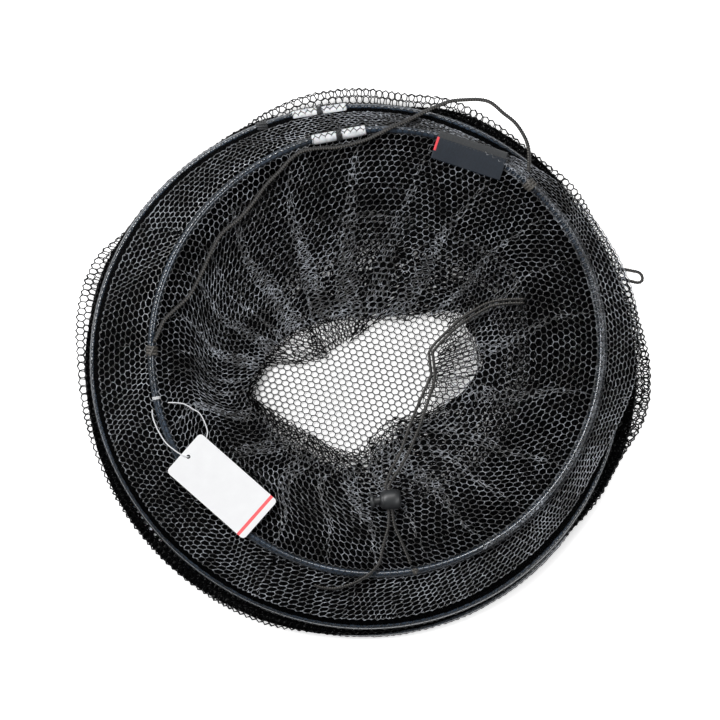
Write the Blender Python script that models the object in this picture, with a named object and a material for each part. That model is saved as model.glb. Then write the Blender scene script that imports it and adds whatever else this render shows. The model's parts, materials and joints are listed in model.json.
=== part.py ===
"""Fishing keepnet, packed flat: two wide hoops, a smaller mouth hoop and the net that hangs between them.

The net lies in folds between the hoops. Its collar falls inwards to a window over the flat base net.
"""

import math
from dataclasses import dataclass

import bmesh
import bpy
import numpy as np
from mathutils import Matrix, Vector

MM = 0.001
GAP = 0.3 * MM  # between pieces that touch or run on each other
UP = Vector((0, 0, 1))

# Hoops
HOOP_OUTER = 350 * MM
MOUTH_STEP = 50 * MM  # that the mouth hoop is smaller
MOUTH_OUTER = HOOP_OUTER - MOUTH_STEP
TUBE_OUTER = 4.3 * MM
TUBE_BORE = 3.1 * MM
WIRE = 2.2 * MM
TUBE_BUTT = 1.5 * MM
WIRE_BUTT = 4 * MM
SLEEVE_LENGTH = 36 * MM
SLEEVE_OUTER = 6.8 * MM
TIE_LENGTH = 4.5 * MM
TIE_THICKNESS = 0.6 * MM
JOINT_SPARE = 1 * MM  # that the hoop runs straight beyond its sleeve
BASE_CENTRE = (-4.6 * MM, -7.9 * MM)
MIDDLE_CENTRE = (-3.1 * MM, -2.7 * MM)
MOUTH_CENTRE = (9.1 * MM, 6.8 * MM)
HOOP_STEPS = 36
TUBE_SIDES = 8
WIRE_SIDES = 6

# Heights of the packed stack
FOLDED_NET = 3.4 * MM
TIE_OUTER = SLEEVE_OUTER + 2 * GAP + 2 * TIE_THICKNESS
BASE_HEIGHT = TIE_OUTER / 2
HOOP_RISE = TUBE_OUTER + 2 * GAP + FOLDED_NET
MIDDLE_HEIGHT = BASE_HEIGHT + HOOP_RISE
MOUTH_HEIGHT = MIDDLE_HEIGHT + HOOP_RISE

# Nets
PANEL_THICKNESS = BASE_HEIGHT - TUBE_OUTER / 2 - GAP
PANEL_PITCH = 28 * MM
PANEL_THREAD = 1.8 * MM
PANEL_RIM = 9 * MM
NET_FOLDS = 20
FOLD_SAMPLES = 4
NET_RIPPLE = 1.2 * MM
LOWER_NET_SHARE = 0.56  # how far in it reaches under the collar, from the window to the mouth hoop
UPPER_NET_INSET = 8 * MM
COLLAR_THICKNESS = 2.4 * MM
COLLAR_FOLD = 2 * MM
COLLAR_RIM_RISE = 1.3 * MM
COLLAR_STATIONS = (0, 0.12, 0.35, 0.7, 1)
HEM_SHARE = 0.5  # where the hem cord lies, from the window to the mouth hoop
HEM_CLEARANCE = 0.8 * MM

# How far the folded net stands out beyond the middle hoop, as bearings in degrees and millimetres
LOWER_NET_EDGE = (
    (0, 20), (14, 14), (30, 9.5), (48, 9.5), (66, 13), (84, 13), (100, 11.5), (120, 4), (150, 5),
    (164, 11), (182, 11), (214, 11), (242, 13.4), (262, 9), (286, 5), (308, 4), (324, 6), (338, 11.5),
)
UPPER_NET_EDGE = ((0, 12), (14, 15), (30, 10.5), (42, 7), (58, 0), (160, 0), (250, 0), (338, 0))

# The window in the collar, from its own centre
WINDOW_CENTRE = (-8.9 * MM, -12.3 * MM)
WINDOW_EDGE = (
    (1, 51), (24, 66), (31, 74), (44, 56), (60, 45), (76, 40), (100, 39), (124, 42), (146, 48),
    (176, 57), (190, 63), (203, 53), (233, 43), (254, 44.5), (272, 46), (308, 35), (335, 45),
)

# Cords
CARRY_CORD = 2.4 * MM
DRAWCORD = 2.2 * MM
LOOP_CORD = 2.0 * MM
TAG_THREAD = 0.9 * MM
KNOT_LENGTH = 7 * MM
KNOT_WALL = 2 * MM
HITCH_LENGTH = 8.3 * MM
HITCH_WALL = 0.8 * MM
END_KNOT = 5 * MM
RELIEF = 0.35 * MM  # round the corners of a sleeve, tie or knot that a net makes room for

# Routes, in millimetres
CARRY_ROUTE = (
    (-138.8, 12.4, 24.8), (-136.2, 16.5, 24.6), (-131.5, 27.0, 24.2), (-123.5, 35.0, 24.0),
    (-114.5, 44.0, 24.0), (-106.3, 59.3, 24.0), (-99.7, 73.8, 24.0), (-93.0, 84.8, 24.0),
    (-81.8, 94.4, 24.0), (-72.5, 105.0, 24.0), (-64.6, 115.9, 24.0), (-55.3, 125.5, 24.2),
    (-48.0, 133.5, 24.4), (-40.1, 138.8, 24.6), (-29.0, 140.6, 24.6), (-18.5, 141.2, 24.6),
    (-7.0, 143.6, 24.8), (4.0, 147.2, 25.2), (17.6, 154.0, 25.0), (28.1, 158.6, 22.6),
    (39.1, 164.2, 20.8), (50.0, 169.2, 20.4), (58.0, 171.9, 20.4), (67.9, 172.8, 20.4),
    (77.2, 172.8, 20.4), (84.5, 170.6, 20.4), (92.4, 163.9, 20.4), (99.7, 158.0, 20.4),
    (105.0, 150.7, 20.4), (108.4, 143.0, 20.4), (109.3, 134.0, 20.6), (108.8, 124.8, 21.8),
)
LEFT_STRAND = (
    (106.3, 41.3, 19.6), (92.4, 40.7, 18.8), (82.1, 38.6, 17.0), (73.5, 34.0, 14.6),
    (64.9, 28.6, 12.0), (56.3, 22.0, 9.6), (50.7, 13.4, 8.2), (46.0, 4.3, 7.8),
    (42.0, -12.3, 8.2), (36.1, -27.5, 11.2), (30.2, -43.4, 14.6), (24.4, -59.8, 17.8),
    (18.8, -70.6, 20.0), (15.6, -76.6, 20.8),
)
LEFT_TAIL = (
    (16.2, -109.6, 21.6), (14.4, -116.2, 23.0), (12.3, -124.9, 24.4), (10.3, -132.8, 25.0),
    (4.7, -139.4, 25.2), (-2.4, -144.2, 24.4), (-8.2, -147.0, 21.8), (-18.8, -149.8, 20.6),
    (-28.1, -149.1, 20.4), (-32.8, -147.4, 20.4),
)
RIGHT_STRAND = (
    (106.3, 38.7, 19.6), (92.6, 38.1, 18.8), (83.2, 36.0, 17.0), (75.0, 31.6, 14.6),
    (66.5, 26.2, 12.0), (58.6, 20.0, 9.8), (54.0, 11.9, 8.6), (50.5, 1.5, 8.6),
    (47.7, -9.0, 9.2), (43.4, -25.0, 11.8), (37.4, -42.0, 15.2), (30.0, -59.4, 18.2),
    (24.4, -69.8, 20.0), (20.4, -75.4, 20.8),
)
RIGHT_TAIL = (
    (20.9, -109.6, 21.8), (24.8, -118.2, 23.2), (28.1, -126.2, 24.6), (31.3, -133.6, 25.2),
)
END_KNOT_PLACE = (34.0, -138.2, 26.0)
HANG_LOOP_ROUTE = (
    (161.3, 60.6, 12.6), (166.0, 61.1, 12.6), (172.0, 60.9, 12.6), (178.0, 59.8, 12.6),
    (181.8, 58.9, 12.6), (184.0, 56.6, 12.6), (184.1, 53.6, 12.6), (181.6, 52.2, 12.6),
    (177.5, 52.9, 12.6), (172.0, 54.3, 12.6), (166.5, 55.0, 12.6), (163.3, 55.3, 12.6),
)
THREAD_ROUTE = (  # from its hitch on the mouth hoop
    (-2.9, -7.4, 1.5), (-2.4, -12.6, 1.4), (0.6, -20.5, 1.9), (6.0, -29.1, 3.1), (11.2, -33.7, 4.5),
    (15.6, -36.7, 5.1), (18.8, -38.2, 5.3), (20.7, -38.7, 5.1), (21.1, -38.6, 4.0), (21.4, -38.4, 2.9),
    (23.0, -37.6, 2.4), (28.2, -32.8, 2.4), (32.6, -26.6, 2.4), (33.4, -20.5, 2.4), (29.0, -10.6, 2.3),
    (24.3, -7.3, 2.3), (18.4, -3.9, 2.2), (12.9, -2.9, 2.2), (5.9, -2.9, 2.3),
)

# Cord lock, along its plunger from the middle of the barrel
LOCK_BEARING = -78  # from the window
LOCK_SHARE = 0.46  # of the way from the window to the mouth hoop
LOCK_STRAIGHT = (10, 5, -5, -10)  # where a strand runs straight through it
LOCK_TILT = math.radians(6)
LOCK_SIDES = 16
BARREL_PROFILE = ((-6.9, 4.8), (-6.0, 5.8), (-3.2, 6.55), (0, 6.7), (3.2, 6.55), (5.8, 5.6), (6.9, 4.4))
PLUNGER_TRAVEL = 2.5 * MM
STEM = 5.8 * MM
BARREL_END_WALL = 0.75 * MM
CORD_HOLE_CENTRE = -1.0 * MM
NECK = 5.4 * MM
BUTTON = 10.2 * MM
BUTTON_THICKNESS = 2.4 * MM
BUTTON_FACE = -13.6 * MM
STEM_END_WALL = 0.8 * MM
SPRING_WIRE = 0.5 * MM
SPRING_TURNS = 2.5
SPRING_STEPS = 10

# Label and tag
LABEL_LENGTH = 48 * MM
LABEL_DROP = 15 * MM
LABEL_CLOTH = 0.6 * MM
LABEL_TUCK = 1.5 * MM
LABEL_BEARING = 65
LABEL_TURN = math.radians(-18.3)
TAG_WIDTH = 34 * MM
TAG_LENGTH = 68 * MM
TAG_CARD = 0.5 * MM
TAG_CORNER = 2.6 * MM
TAG_HOLE = 2.7 * MM
TAG_HOLE_INSET = 4.6 * MM
TAG_SHIFT = Vector((43.2 * MM, -58.0 * MM, 3.7 * MM))  # from its hitch
TAG_TURN = math.radians(-41.4)

# Bearings on the hoops
HITCH_BEARING = 193
CARRY_KNOT_BEARINGS = (180, 47.6)
SEAM_KNOT_BEARING = 112
HEM_OPENING = (17, 27)


@dataclass
class Hoop:
    """A hoop's place and the slight bends that pull it out of a true circle; bearings are in degrees."""

    name: str
    centre: tuple
    height: float
    outer: float
    oval: float
    oval_at: float
    lobe: float
    lobe_at: float
    joint_at: float


BASE = Hoop("base", BASE_CENTRE, BASE_HEIGHT, HOOP_OUTER, 1.6 * MM, -11, 1.4 * MM, 52, 215)
MIDDLE = Hoop("middle", MIDDLE_CENTRE, MIDDLE_HEIGHT, HOOP_OUTER, 1.6 * MM, -11, 1.4 * MM, 52, 98.8)
MOUTH = Hoop("mouth", MOUTH_CENTRE, MOUTH_HEIGHT, MOUTH_OUTER, 1.4 * MM, 22, 0.6 * MM, 46, 100.1)


def finish(name, colour, roughness, metallic=0.0):
    """A Principled material in an sRGB hex colour."""
    made = bpy.data.materials.new(name)
    made.use_nodes = True
    shader = made.node_tree.nodes["Principled BSDF"]
    shares = [int(colour[i : i + 2], 16) / 255 for i in (0, 2, 4)]
    linear = [x / 12.92 if x <= 0.04045 else ((x + 0.055) / 1.055) ** 2.4 for x in shares]
    shader.inputs["Base Color"].default_value = (*linear, 1)
    shader.inputs["Roughness"].default_value = roughness
    shader.inputs["Metallic"].default_value = metallic
    return made


def add_body(name, place=(0, 0, 0), turn=0.0):
    """An empty that carries one body's pieces, on the axis that the body moves about."""
    body = bpy.data.objects.new(name, None)
    body.location = place
    body.rotation_euler = (0, 0, turn)
    bpy.context.scene.collection.objects.link(body)
    bpy.context.view_layer.update()
    return body


def add_object(name, data, material, body=None, local=False):
    """Links data as an object on a body; local data is already in the body's own axes."""
    data.materials.append(material)
    made = bpy.data.objects.new(name, data)
    bpy.context.scene.collection.objects.link(made)
    if body:
        made.parent = body
        if not local:
            made.matrix_parent_inverse = body.matrix_world.inverted()
    return made


def add_mesh(name, mesh, material, body=None, local=False):
    """Turns a bmesh into an object with its faces pointing out."""
    bmesh.ops.recalc_face_normals(mesh, faces=mesh.faces)
    data = bpy.data.meshes.new(name)
    mesh.to_mesh(data)
    mesh.free()
    made = add_object(name, data, material, body, local)
    data.shade_smooth()
    data.set_sharp_from_angle(angle=math.radians(35))
    return made


def skin(mesh, rings, joined=False):
    """Skins a row of equal rings, joined to itself if it goes all the way round."""
    rows = [[mesh.verts.new(point) for point in ring] for ring in rings]
    pairs = list(zip(rows, rows[1:]))
    if joined:
        pairs.append((rows[-1], rows[0]))
    for near, far in pairs:
        for i in range(len(near)):
            j = (i + 1) % len(near)
            mesh.faces.new((near[i], near[j], far[j], far[i]))
    return rows


def swept(stations, section):
    """A ring of points for each station, from a section given as (outward, up)."""
    return [[place + outward * out + UP * up for out, up in section] for place, outward in stations]


def polygon(across, sides):
    """A regular section that measures across from flat to flat, with flats above and below."""
    corner = across / 2 / math.cos(math.pi / sides)
    turns = [2 * math.pi * (i + 0.5) / sides - math.pi / 2 for i in range(sides)]
    return [(corner * math.cos(turn), corner * math.sin(turn)) for turn in turns]


def add_rod(name, stations, section, material, body, bore=None):
    """A solid swept along stations, or a tube that is open at both ends."""
    mesh = bmesh.new()
    rows = skin(mesh, swept(stations, section))
    if bore:
        lining = skin(mesh, swept(stations, bore))
        for end in (0, -1):
            for i in range(len(section)):
                j = (i + 1) % len(section)
                mesh.faces.new((rows[end][i], rows[end][j], lining[end][j], lining[end][i]))
    else:
        mesh.faces.new(rows[0])
        mesh.faces.new(rows[-1])
    return add_mesh(name, mesh, material, body)


def smooth_around(table, bearing):
    """A smooth closed curve through (bearing in degrees, millimetres) pairs, in metres."""
    known = sorted(table)
    count = len(known)
    bearing %= 360

    def knot(i):
        lap, k = divmod(i, count)
        return known[k][0] + 360 * lap, known[k][1]

    def slope(i):
        (a, low), (b, high) = knot(i - 1), knot(i + 1)
        return (high - low) / (b - a)

    i = max((k for k in range(count) if known[k][0] <= bearing), default=-1)
    (start, low), (end, high) = knot(i), knot(i + 1)
    span = end - start
    t = (bearing - start) / span
    value = (
        (2 * t**3 - 3 * t**2 + 1) * low
        + (t**3 - 2 * t**2 + t) * span * slope(i)
        + (3 * t**2 - 2 * t**3) * high
        + (t**3 - t**2) * span * slope(i + 1)
    )
    return value * MM


def hoop_point(hoop, bearing, out=0.0, up=0.0):
    """A point by its bearing in degrees, out from the tube's centre line and up from it."""
    turn = math.radians(bearing)
    reach = (
        (hoop.outer - TUBE_OUTER) / 2
        + hoop.oval * math.cos(2 * (turn - math.radians(hoop.oval_at)))
        + hoop.lobe * math.cos(3 * (turn - math.radians(hoop.lobe_at)))
        + out
    )
    x, y = hoop.centre
    return Vector((x + reach * math.cos(turn), y + reach * math.sin(turn), hoop.height + up))


def outward_at(bearing):
    turn = math.radians(bearing)
    return Vector((math.cos(turn), math.sin(turn), 0))


def joint_half_turn(hoop):
    """Half the bearing that the hoop's straight joint takes up, in degrees."""
    return math.degrees((SLEEVE_LENGTH / 2 + JOINT_SPARE) / (hoop.outer / 2))


def joint_line(hoop):
    """The middle of the joint, its direction and its outward side: the hoop runs straight in its sleeve."""
    half = joint_half_turn(hoop)
    first = hoop_point(hoop, hoop.joint_at - half)
    last = hoop_point(hoop, hoop.joint_at + half)
    along = (last - first).normalized()
    return (first + last) / 2, along, along.cross(UP)


def hoop_stations(hoop, butt):
    """Stations round the hoop from one side of its joint to the other, with butt between its ends."""
    middle, along, outward = joint_line(hoop)
    half = joint_half_turn(hoop)
    step = (360 - 2 * half) / HOOP_STEPS
    stations = [(middle + along * butt / 2, outward)]
    for i in range(HOOP_STEPS + 1):
        bearing = hoop.joint_at + half + i * step
        stations.append((hoop_point(hoop, bearing), outward_at(bearing)))
    stations.append((middle - along * butt / 2, outward))
    return stations


def straight_stations(middle, along, outward, length):
    return [(middle + along * length / 2 * side, outward) for side in (-1, 1)]


def seat(hoop, bearing, length):
    """Where a short ring sits on the hoop's straight nearest to a bearing, and the direction there."""
    places = [place for place, _ in hoop_stations(hoop, TUBE_BUTT)][1:-1]
    target = hoop_point(hoop, bearing)
    near, far = min(zip(places, places[1:]), key=lambda ends: ((ends[0] + ends[1]) / 2 - target).length)
    middle, along = (near + far) / 2, (far - near).normalized()
    room = (far - near).length / 2 - length / 2 - GAP
    return middle + along * min(max((target - middle).dot(along), -room), room), along


def hoop_sag(hoop):
    """How far the middle of a straight of the hoop lies inside its true curve."""
    return hoop.outer / 2 * (1 - math.cos(math.pi / HOOP_STEPS))


def add_hoop(hoop, body):
    """One hoop: its wire, the tube over it, the sleeve over the tube's joint and the sleeve's binding."""
    tube = polygon(TUBE_OUTER, TUBE_SIDES)
    bore = polygon(TUBE_BORE, TUBE_SIDES)
    add_rod(f"{hoop.name}_hoop_tube", hoop_stations(hoop, TUBE_BUTT), tube, tube_plastic, body, bore)
    wire = polygon(WIRE, WIRE_SIDES)
    add_rod(f"{hoop.name}_hoop_wire", hoop_stations(hoop, WIRE_BUTT), wire, spring_steel, body)
    middle, along, outward = joint_line(hoop)
    sleeve = polygon(SLEEVE_OUTER, TUBE_SIDES)
    sleeve_bore = polygon(TUBE_OUTER + 2 * GAP, TUBE_SIDES)
    stations = straight_stations(middle, along, outward, SLEEVE_LENGTH)
    add_rod(f"{hoop.name}_hoop_sleeve", stations, sleeve, white_plastic, body, sleeve_bore)
    tie = polygon(TIE_OUTER, TUBE_SIDES)
    tie_bore = polygon(SLEEVE_OUTER + 2 * GAP, TUBE_SIDES)
    stations = straight_stations(middle, along, outward, TIE_LENGTH)
    add_rod(f"{hoop.name}_sleeve_tie", stations, tie, black_twine, body, tie_bore)


def add_knot(name, hoop, bearing, length, wall, material, body):
    """Turns of cord knotted round a hoop's tube, as one ring."""
    bore = TUBE_OUTER + 2 * GAP
    middle, along = seat(hoop, bearing, length)
    stations = straight_stations(middle, along, along.cross(UP), length)
    outside = polygon(bore + 2 * wall, TUBE_SIDES)
    return add_rod(name, stations, outside, material, body, polygon(bore, TUBE_SIDES))


def joint_pocket(hoop):
    """The room that a net leaves round a hoop's sleeve and its binding."""
    middle, along, outward = joint_line(hoop)
    across = TIE_OUTER / math.cos(math.pi / TUBE_SIDES) + 2 * RELIEF
    return middle, along, (SLEEVE_LENGTH + 2 * RELIEF, across, across)


def knot_pocket(hoop, bearing, length, wall):
    """The room that a net leaves round a knot on a hoop."""
    outside = TUBE_OUTER + 2 * GAP + 2 * wall
    across = outside / math.cos(math.pi / TUBE_SIDES) + 2 * RELIEF
    middle, along = seat(hoop, bearing, length)
    return middle, along, (length + 2 * RELIEF, across, across)


def cut_pockets(piece, pockets):
    """Cuts a box out of a net for each pocket, given as its middle, direction and size."""
    mesh = bmesh.new()
    for middle, along, size in pockets:
        turn = Matrix((along, UP.cross(along), UP)).transposed().to_4x4()
        box = Matrix.Translation(middle) @ turn @ Matrix.Diagonal((*size, 1))
        bmesh.ops.create_cube(mesh, size=1, matrix=box)
    cutter = add_mesh(f"{piece.name}_pockets", mesh, black_twine)
    cutter.hide_render = True
    cutter.display_type = "WIRE"
    cut = piece.modifiers.new("pockets", "BOOLEAN")
    cut.operation = "DIFFERENCE"
    cut.object = cutter


def add_plate(name, outline, holes, low, high, material, body, local=False):
    """A flat plate with holes, from closed outlines of (x, y)."""
    mesh = bmesh.new()
    levels = ([], [])
    for loop in [outline, *holes]:
        rows = []
        for height, edges in zip((low, high), levels):
            corners = [mesh.verts.new((x, y, height)) for x, y in loop]
            edges += [mesh.edges.new(pair) for pair in zip(corners, corners[1:] + corners[:1])]
            rows.append(corners)
        for i in range(len(loop)):
            j = (i + 1) % len(loop)
            mesh.faces.new((rows[0][i], rows[0][j], rows[1][j], rows[1][i]))
    for edges in levels:
        bmesh.ops.triangle_fill(mesh, edges=edges, use_beauty=True)
    return add_mesh(name, mesh, material, body, local)


def regular_outline(centre, radius, sides, start=0.0):
    turns = [start + 2 * math.pi * i / sides for i in range(sides)]
    return [(centre[0] + radius * math.cos(t), centre[1] + radius * math.sin(t)) for t in turns]


def add_base_panel(body):
    """The flat hexagonal net of the base, with a rim under the base hoop."""
    rim_out = TUBE_OUTER / 2
    outline = [hoop_point(BASE, 360 * i / HOOP_STEPS, rim_out)[:2] for i in range(HOOP_STEPS)]
    hole = (PANEL_PITCH - PANEL_THREAD) / math.sqrt(3)
    row_rise = PANEL_PITCH * math.sqrt(3) / 2
    limit = BASE.outer / 2 - PANEL_RIM - hole
    rows = int(limit / row_rise)
    holes = []
    for row in range(-rows, rows + 1):
        shift = PANEL_PITCH / 2 if row % 2 else 0
        for column in range(-rows - 2, rows + 3):
            x, y = column * PANEL_PITCH + shift, row * row_rise
            if math.hypot(x, y) < limit:
                centre = (BASE.centre[0] + x, BASE.centre[1] + y)
                holes.append(regular_outline(centre, hole, 6, math.pi / 6))
    panel = add_plate("base_net_panel", outline, holes, 0, PANEL_THICKNESS, black_net, body)
    cut_pockets(panel, [joint_pocket(BASE)])


def add_folded_net(name, bearings, inner, outer, low, body):
    """A ring of folded net between two hoops, thick inside and drawn to a fold at its outer edge."""
    mesh = bmesh.new()
    sections = []
    for i, bearing in enumerate(bearings):
        near, far = inner(bearing), outer(bearing)
        top = low + FOLDED_NET - NET_RIPPLE * (1 - math.cos(2 * math.pi * i / FOLD_SAMPLES)) / 2
        middle = near.lerp(far, 0.5)
        shoulder = near.lerp(far, 0.85)
        under = ((near, low), (shoulder, low), (far, low + FOLDED_NET / 3))
        places = (*under, (shoulder, top), (middle, top), (near, top))
        sections.append([Vector((p.x, p.y, height)) for p, height in places])
    skin(mesh, sections, joined=True)
    return add_mesh(name, mesh, black_net, body)


def fold_bearings():
    count = NET_FOLDS * FOLD_SAMPLES
    return [360 * i / count for i in range(count)]


def add_lower_net(body):
    """The net between the base hoop and the middle hoop."""
    net = add_folded_net(
        "lower_net",
        fold_bearings(),
        lambda bearing: collar_point(bearing, LOWER_NET_SHARE),
        lambda bearing: hoop_point(MIDDLE, bearing, smooth_around(LOWER_NET_EDGE, bearing)),
        BASE_HEIGHT + TUBE_OUTER / 2 + GAP,
        body,
    )
    seam = knot_pocket(MIDDLE, SEAM_KNOT_BEARING, KNOT_LENGTH, KNOT_WALL)
    cut_pockets(net, [joint_pocket(BASE), joint_pocket(MIDDLE), seam])


def add_upper_net(body):
    """The net between the middle hoop and the mouth hoop."""
    net = add_folded_net(
        "upper_net",
        fold_bearings(),
        lambda bearing: hoop_point(MOUTH, bearing, -UPPER_NET_INSET),
        lambda bearing: hoop_point(MIDDLE, bearing, smooth_around(UPPER_NET_EDGE, bearing)),
        MIDDLE_HEIGHT + TUBE_OUTER / 2 + GAP,
        body,
    )
    knots = [knot_pocket(MOUTH, bearing, KNOT_LENGTH, KNOT_WALL) for bearing in CARRY_KNOT_BEARINGS]
    knots.append(knot_pocket(MIDDLE, SEAM_KNOT_BEARING, KNOT_LENGTH, KNOT_WALL))
    knots.append(knot_pocket(MOUTH, HITCH_BEARING, HITCH_LENGTH, HITCH_WALL))
    cut_pockets(net, [joint_pocket(MIDDLE), joint_pocket(MOUTH), label_pocket(), *knots])


def window_point(bearing):
    reach = smooth_around(WINDOW_EDGE, bearing)
    turn = math.radians(bearing)
    x, y = WINDOW_CENTRE
    return Vector((x + reach * math.cos(turn), y + reach * math.sin(turn), 0))


def collar_point(bearing, share):
    """A point of the collar in plan, from the window's edge at 0 to the mouth hoop at 1."""
    far = hoop_point(MOUTH, bearing, -TUBE_OUTER / 2 - GAP - hoop_sag(MOUTH))
    far.z = 0
    return window_point(bearing).lerp(far, share)


def collar_top(share):
    """The height of the collar's upper side, without its folds."""
    low = PANEL_THICKNESS + GAP + COLLAR_THICKNESS
    high = MOUTH_HEIGHT + COLLAR_RIM_RISE
    return low + (high - low) * share**2 * (3 - 2 * share)


def collar_fold(share):
    """How high the collar's folds stand: fullest near the window and flat at the mouth hoop."""
    return COLLAR_FOLD * math.sin(math.pi * min(share + 0.25, 1))


def add_collar(body):
    """The collar: a funnel of folded net from the mouth hoop in to the window."""
    mesh = bmesh.new()
    sections = []
    for i, bearing in enumerate(fold_bearings()):
        crest = (1 + math.cos(2 * math.pi * i / FOLD_SAMPLES)) / 2
        upper = []
        for share in COLLAR_STATIONS:
            place = collar_point(bearing, share)
            place.z = collar_top(share) + collar_fold(share) * crest
            upper.append(place)
        lower = [place - UP * COLLAR_THICKNESS for place in reversed(upper)]
        sections.append(upper + lower)
    skin(mesh, sections, joined=True)
    net = add_mesh("collar_net", mesh, black_net, body)
    knots = [knot_pocket(MOUTH, bearing, KNOT_LENGTH, KNOT_WALL) for bearing in CARRY_KNOT_BEARINGS]
    knots.append(knot_pocket(MOUTH, HITCH_BEARING, HITCH_LENGTH, HITCH_WALL))
    cut_pockets(net, [joint_pocket(MOUTH), *knots])


def smooth_route(route, spacing):
    """Points a steady distance apart on a Catmull-Rom curve through a route."""
    known = np.array(route, float)
    ends = (2 * known[0] - known[1], 2 * known[-1] - known[-2])
    known = np.vstack([ends[0], known, ends[1]])
    fine = []
    for a, b, c, d in zip(known, known[1:], known[2:], known[3:]):
        for t in np.linspace(0, 1, 12, endpoint=False):
            bend = (2 * a - 5 * b + 4 * c - d) * t**2 + (3 * b - a - 3 * c + d) * t**3
            fine.append(0.5 * (2 * b + (c - a) * t + bend))
    fine.append(known[-2])
    fine = np.array(fine)
    run = np.concatenate([[0], np.cumsum(np.linalg.norm(np.diff(fine, axis=0), axis=1))])
    count = max(3, round(run[-1] / spacing) + 1)
    even = np.linspace(0, run[-1], count)
    return [Vector([np.interp(at, run, fine[:, axis]) for axis in range(3)]) for at in even]


def add_curve(name, points, diameter, sides_setting, material, body, closed=False, local=False):
    """A round tube along a row of points."""
    data = bpy.data.curves.new(name, "CURVE")
    data.dimensions = "3D"
    data.bevel_depth = diameter / 2
    data.bevel_resolution = sides_setting
    data.use_fill_caps = True
    spline = data.splines.new("POLY")
    spline.points.add(len(points) - 1)
    for made, point in zip(spline.points, points):
        made.co = (*point, 1)
    spline.use_cyclic_u = closed
    return add_object(name, data, material, body, local)


def in_metres(route):
    return [Vector(point) * MM for point in route]


def add_cord(name, route, diameter, material, body, spacing=2.8, sides_setting=2):
    """A cord along a route, with a point every few diameters."""
    return add_curve(name, smooth_route(route, spacing * diameter), diameter, sides_setting, material, body)


def lock_place():
    """The middle of the lock's barrel, which lies on the collar's folds."""
    place = collar_point(LOCK_BEARING, LOCK_SHARE)
    radius = max(radius for _, radius in BARREL_PROFILE) * MM
    place.z = collar_top(LOCK_SHARE) + collar_fold(LOCK_SHARE) + GAP + radius
    return place


def strand_route(strand, tail, side):
    """A drawcord strand: over the collar, straight through the lock and on along its tail."""
    turn = Matrix.Rotation(LOCK_TILT, 4, "Z")
    across = CORD_HOLE_CENTRE + side * (DRAWCORD + GAP) / 2
    inside = [lock_place() + turn @ Vector((across, reach * MM, 0)) for reach in LOCK_STRAIGHT]
    return in_metres(strand) + inside + in_metres(tail)


def add_hem_cord(body):
    """The drawcord inside the collar's hem, under the folds and open where its two strands leave it."""
    drop = COLLAR_THICKNESS + HEM_CLEARANCE + DRAWCORD / 2
    first, last, count = HEM_OPENING[1], HEM_OPENING[0] + 360, 44
    points = []
    for i in range(count + 1):
        place = collar_point(first + (last - first) * i / count, HEM_SHARE)
        place.z = collar_top(HEM_SHARE) - drop
        points.append(place)
    add_curve("hem_cord", points, DRAWCORD, 2, black_cord, body)


def add_end_knot(body):
    """The knot that stops the right strand of the drawcord."""
    mesh = bmesh.new()
    place = Matrix.Translation(Vector(END_KNOT_PLACE) * MM)
    bmesh.ops.create_icosphere(mesh, subdivisions=2, radius=END_KNOT / 2, matrix=place)
    add_mesh("drawcord_end_knot", mesh, black_cord, body)


def turned(mesh, profile, sides):
    """A solid turned about the X axis from (x, radius) pairs in metres."""
    rings = [
        [Vector((x, y, z)) for y, z in regular_outline((0, 0), radius, sides, math.pi / sides)]
        for x, radius in profile
    ]
    rows = skin(mesh, rings)
    mesh.faces.new(rows[0])
    mesh.faces.new(rows[-1])


def cut_with(piece, mesh, name):
    """Cuts a piece with a shape in the piece's own axes."""
    cutter = add_mesh(name, mesh, black_twine, piece.parent, local=True)
    cutter.hide_render = True
    cutter.display_type = "WIRE"
    cut = piece.modifiers.new(name, "BOOLEAN")
    cut.operation = "DIFFERENCE"
    cut.object = cutter


def box_between(low, high):
    """A box from its lowest corner to its highest."""
    mesh = bmesh.new()
    low, high = Vector(low), Vector(high)
    size = Matrix.Diagonal((*(high - low), 1))
    bmesh.ops.create_cube(mesh, size=1, matrix=Matrix.Translation((low + high) / 2) @ size)
    return mesh


def lock_hole():
    """The span of the cord hole along the lock's axis, and half its height."""
    half = DRAWCORD + GAP / 2 + GAP
    return CORD_HOLE_CENTRE - half, CORD_HOLE_CENTRE + half, DRAWCORD / 2 + GAP


def add_barrel(body):
    """The lock's barrel, bored for the plunger from its open end and slotted for the two strands."""
    mesh = bmesh.new()
    turned(mesh, [(x * MM, radius * MM) for x, radius in BARREL_PROFILE], LOCK_SIDES)
    barrel = add_mesh("lock_barrel", mesh, lock_plastic, body, local=True)
    start, end = BARREL_PROFILE[0][0] * MM, BARREL_PROFILE[-1][0] * MM
    bore = bmesh.new()
    turned(bore, [(start - MM, STEM / 2 + GAP), (end - BARREL_END_WALL, STEM / 2 + GAP)], LOCK_SIDES)
    cut_with(barrel, bore, "barrel_bore")
    first, last, half = lock_hole()
    widest = max(radius for _, radius in BARREL_PROFILE) * MM + MM
    cut_with(barrel, box_between((first, -widest, -half), (last, widest, half)), "barrel_hole")


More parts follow.
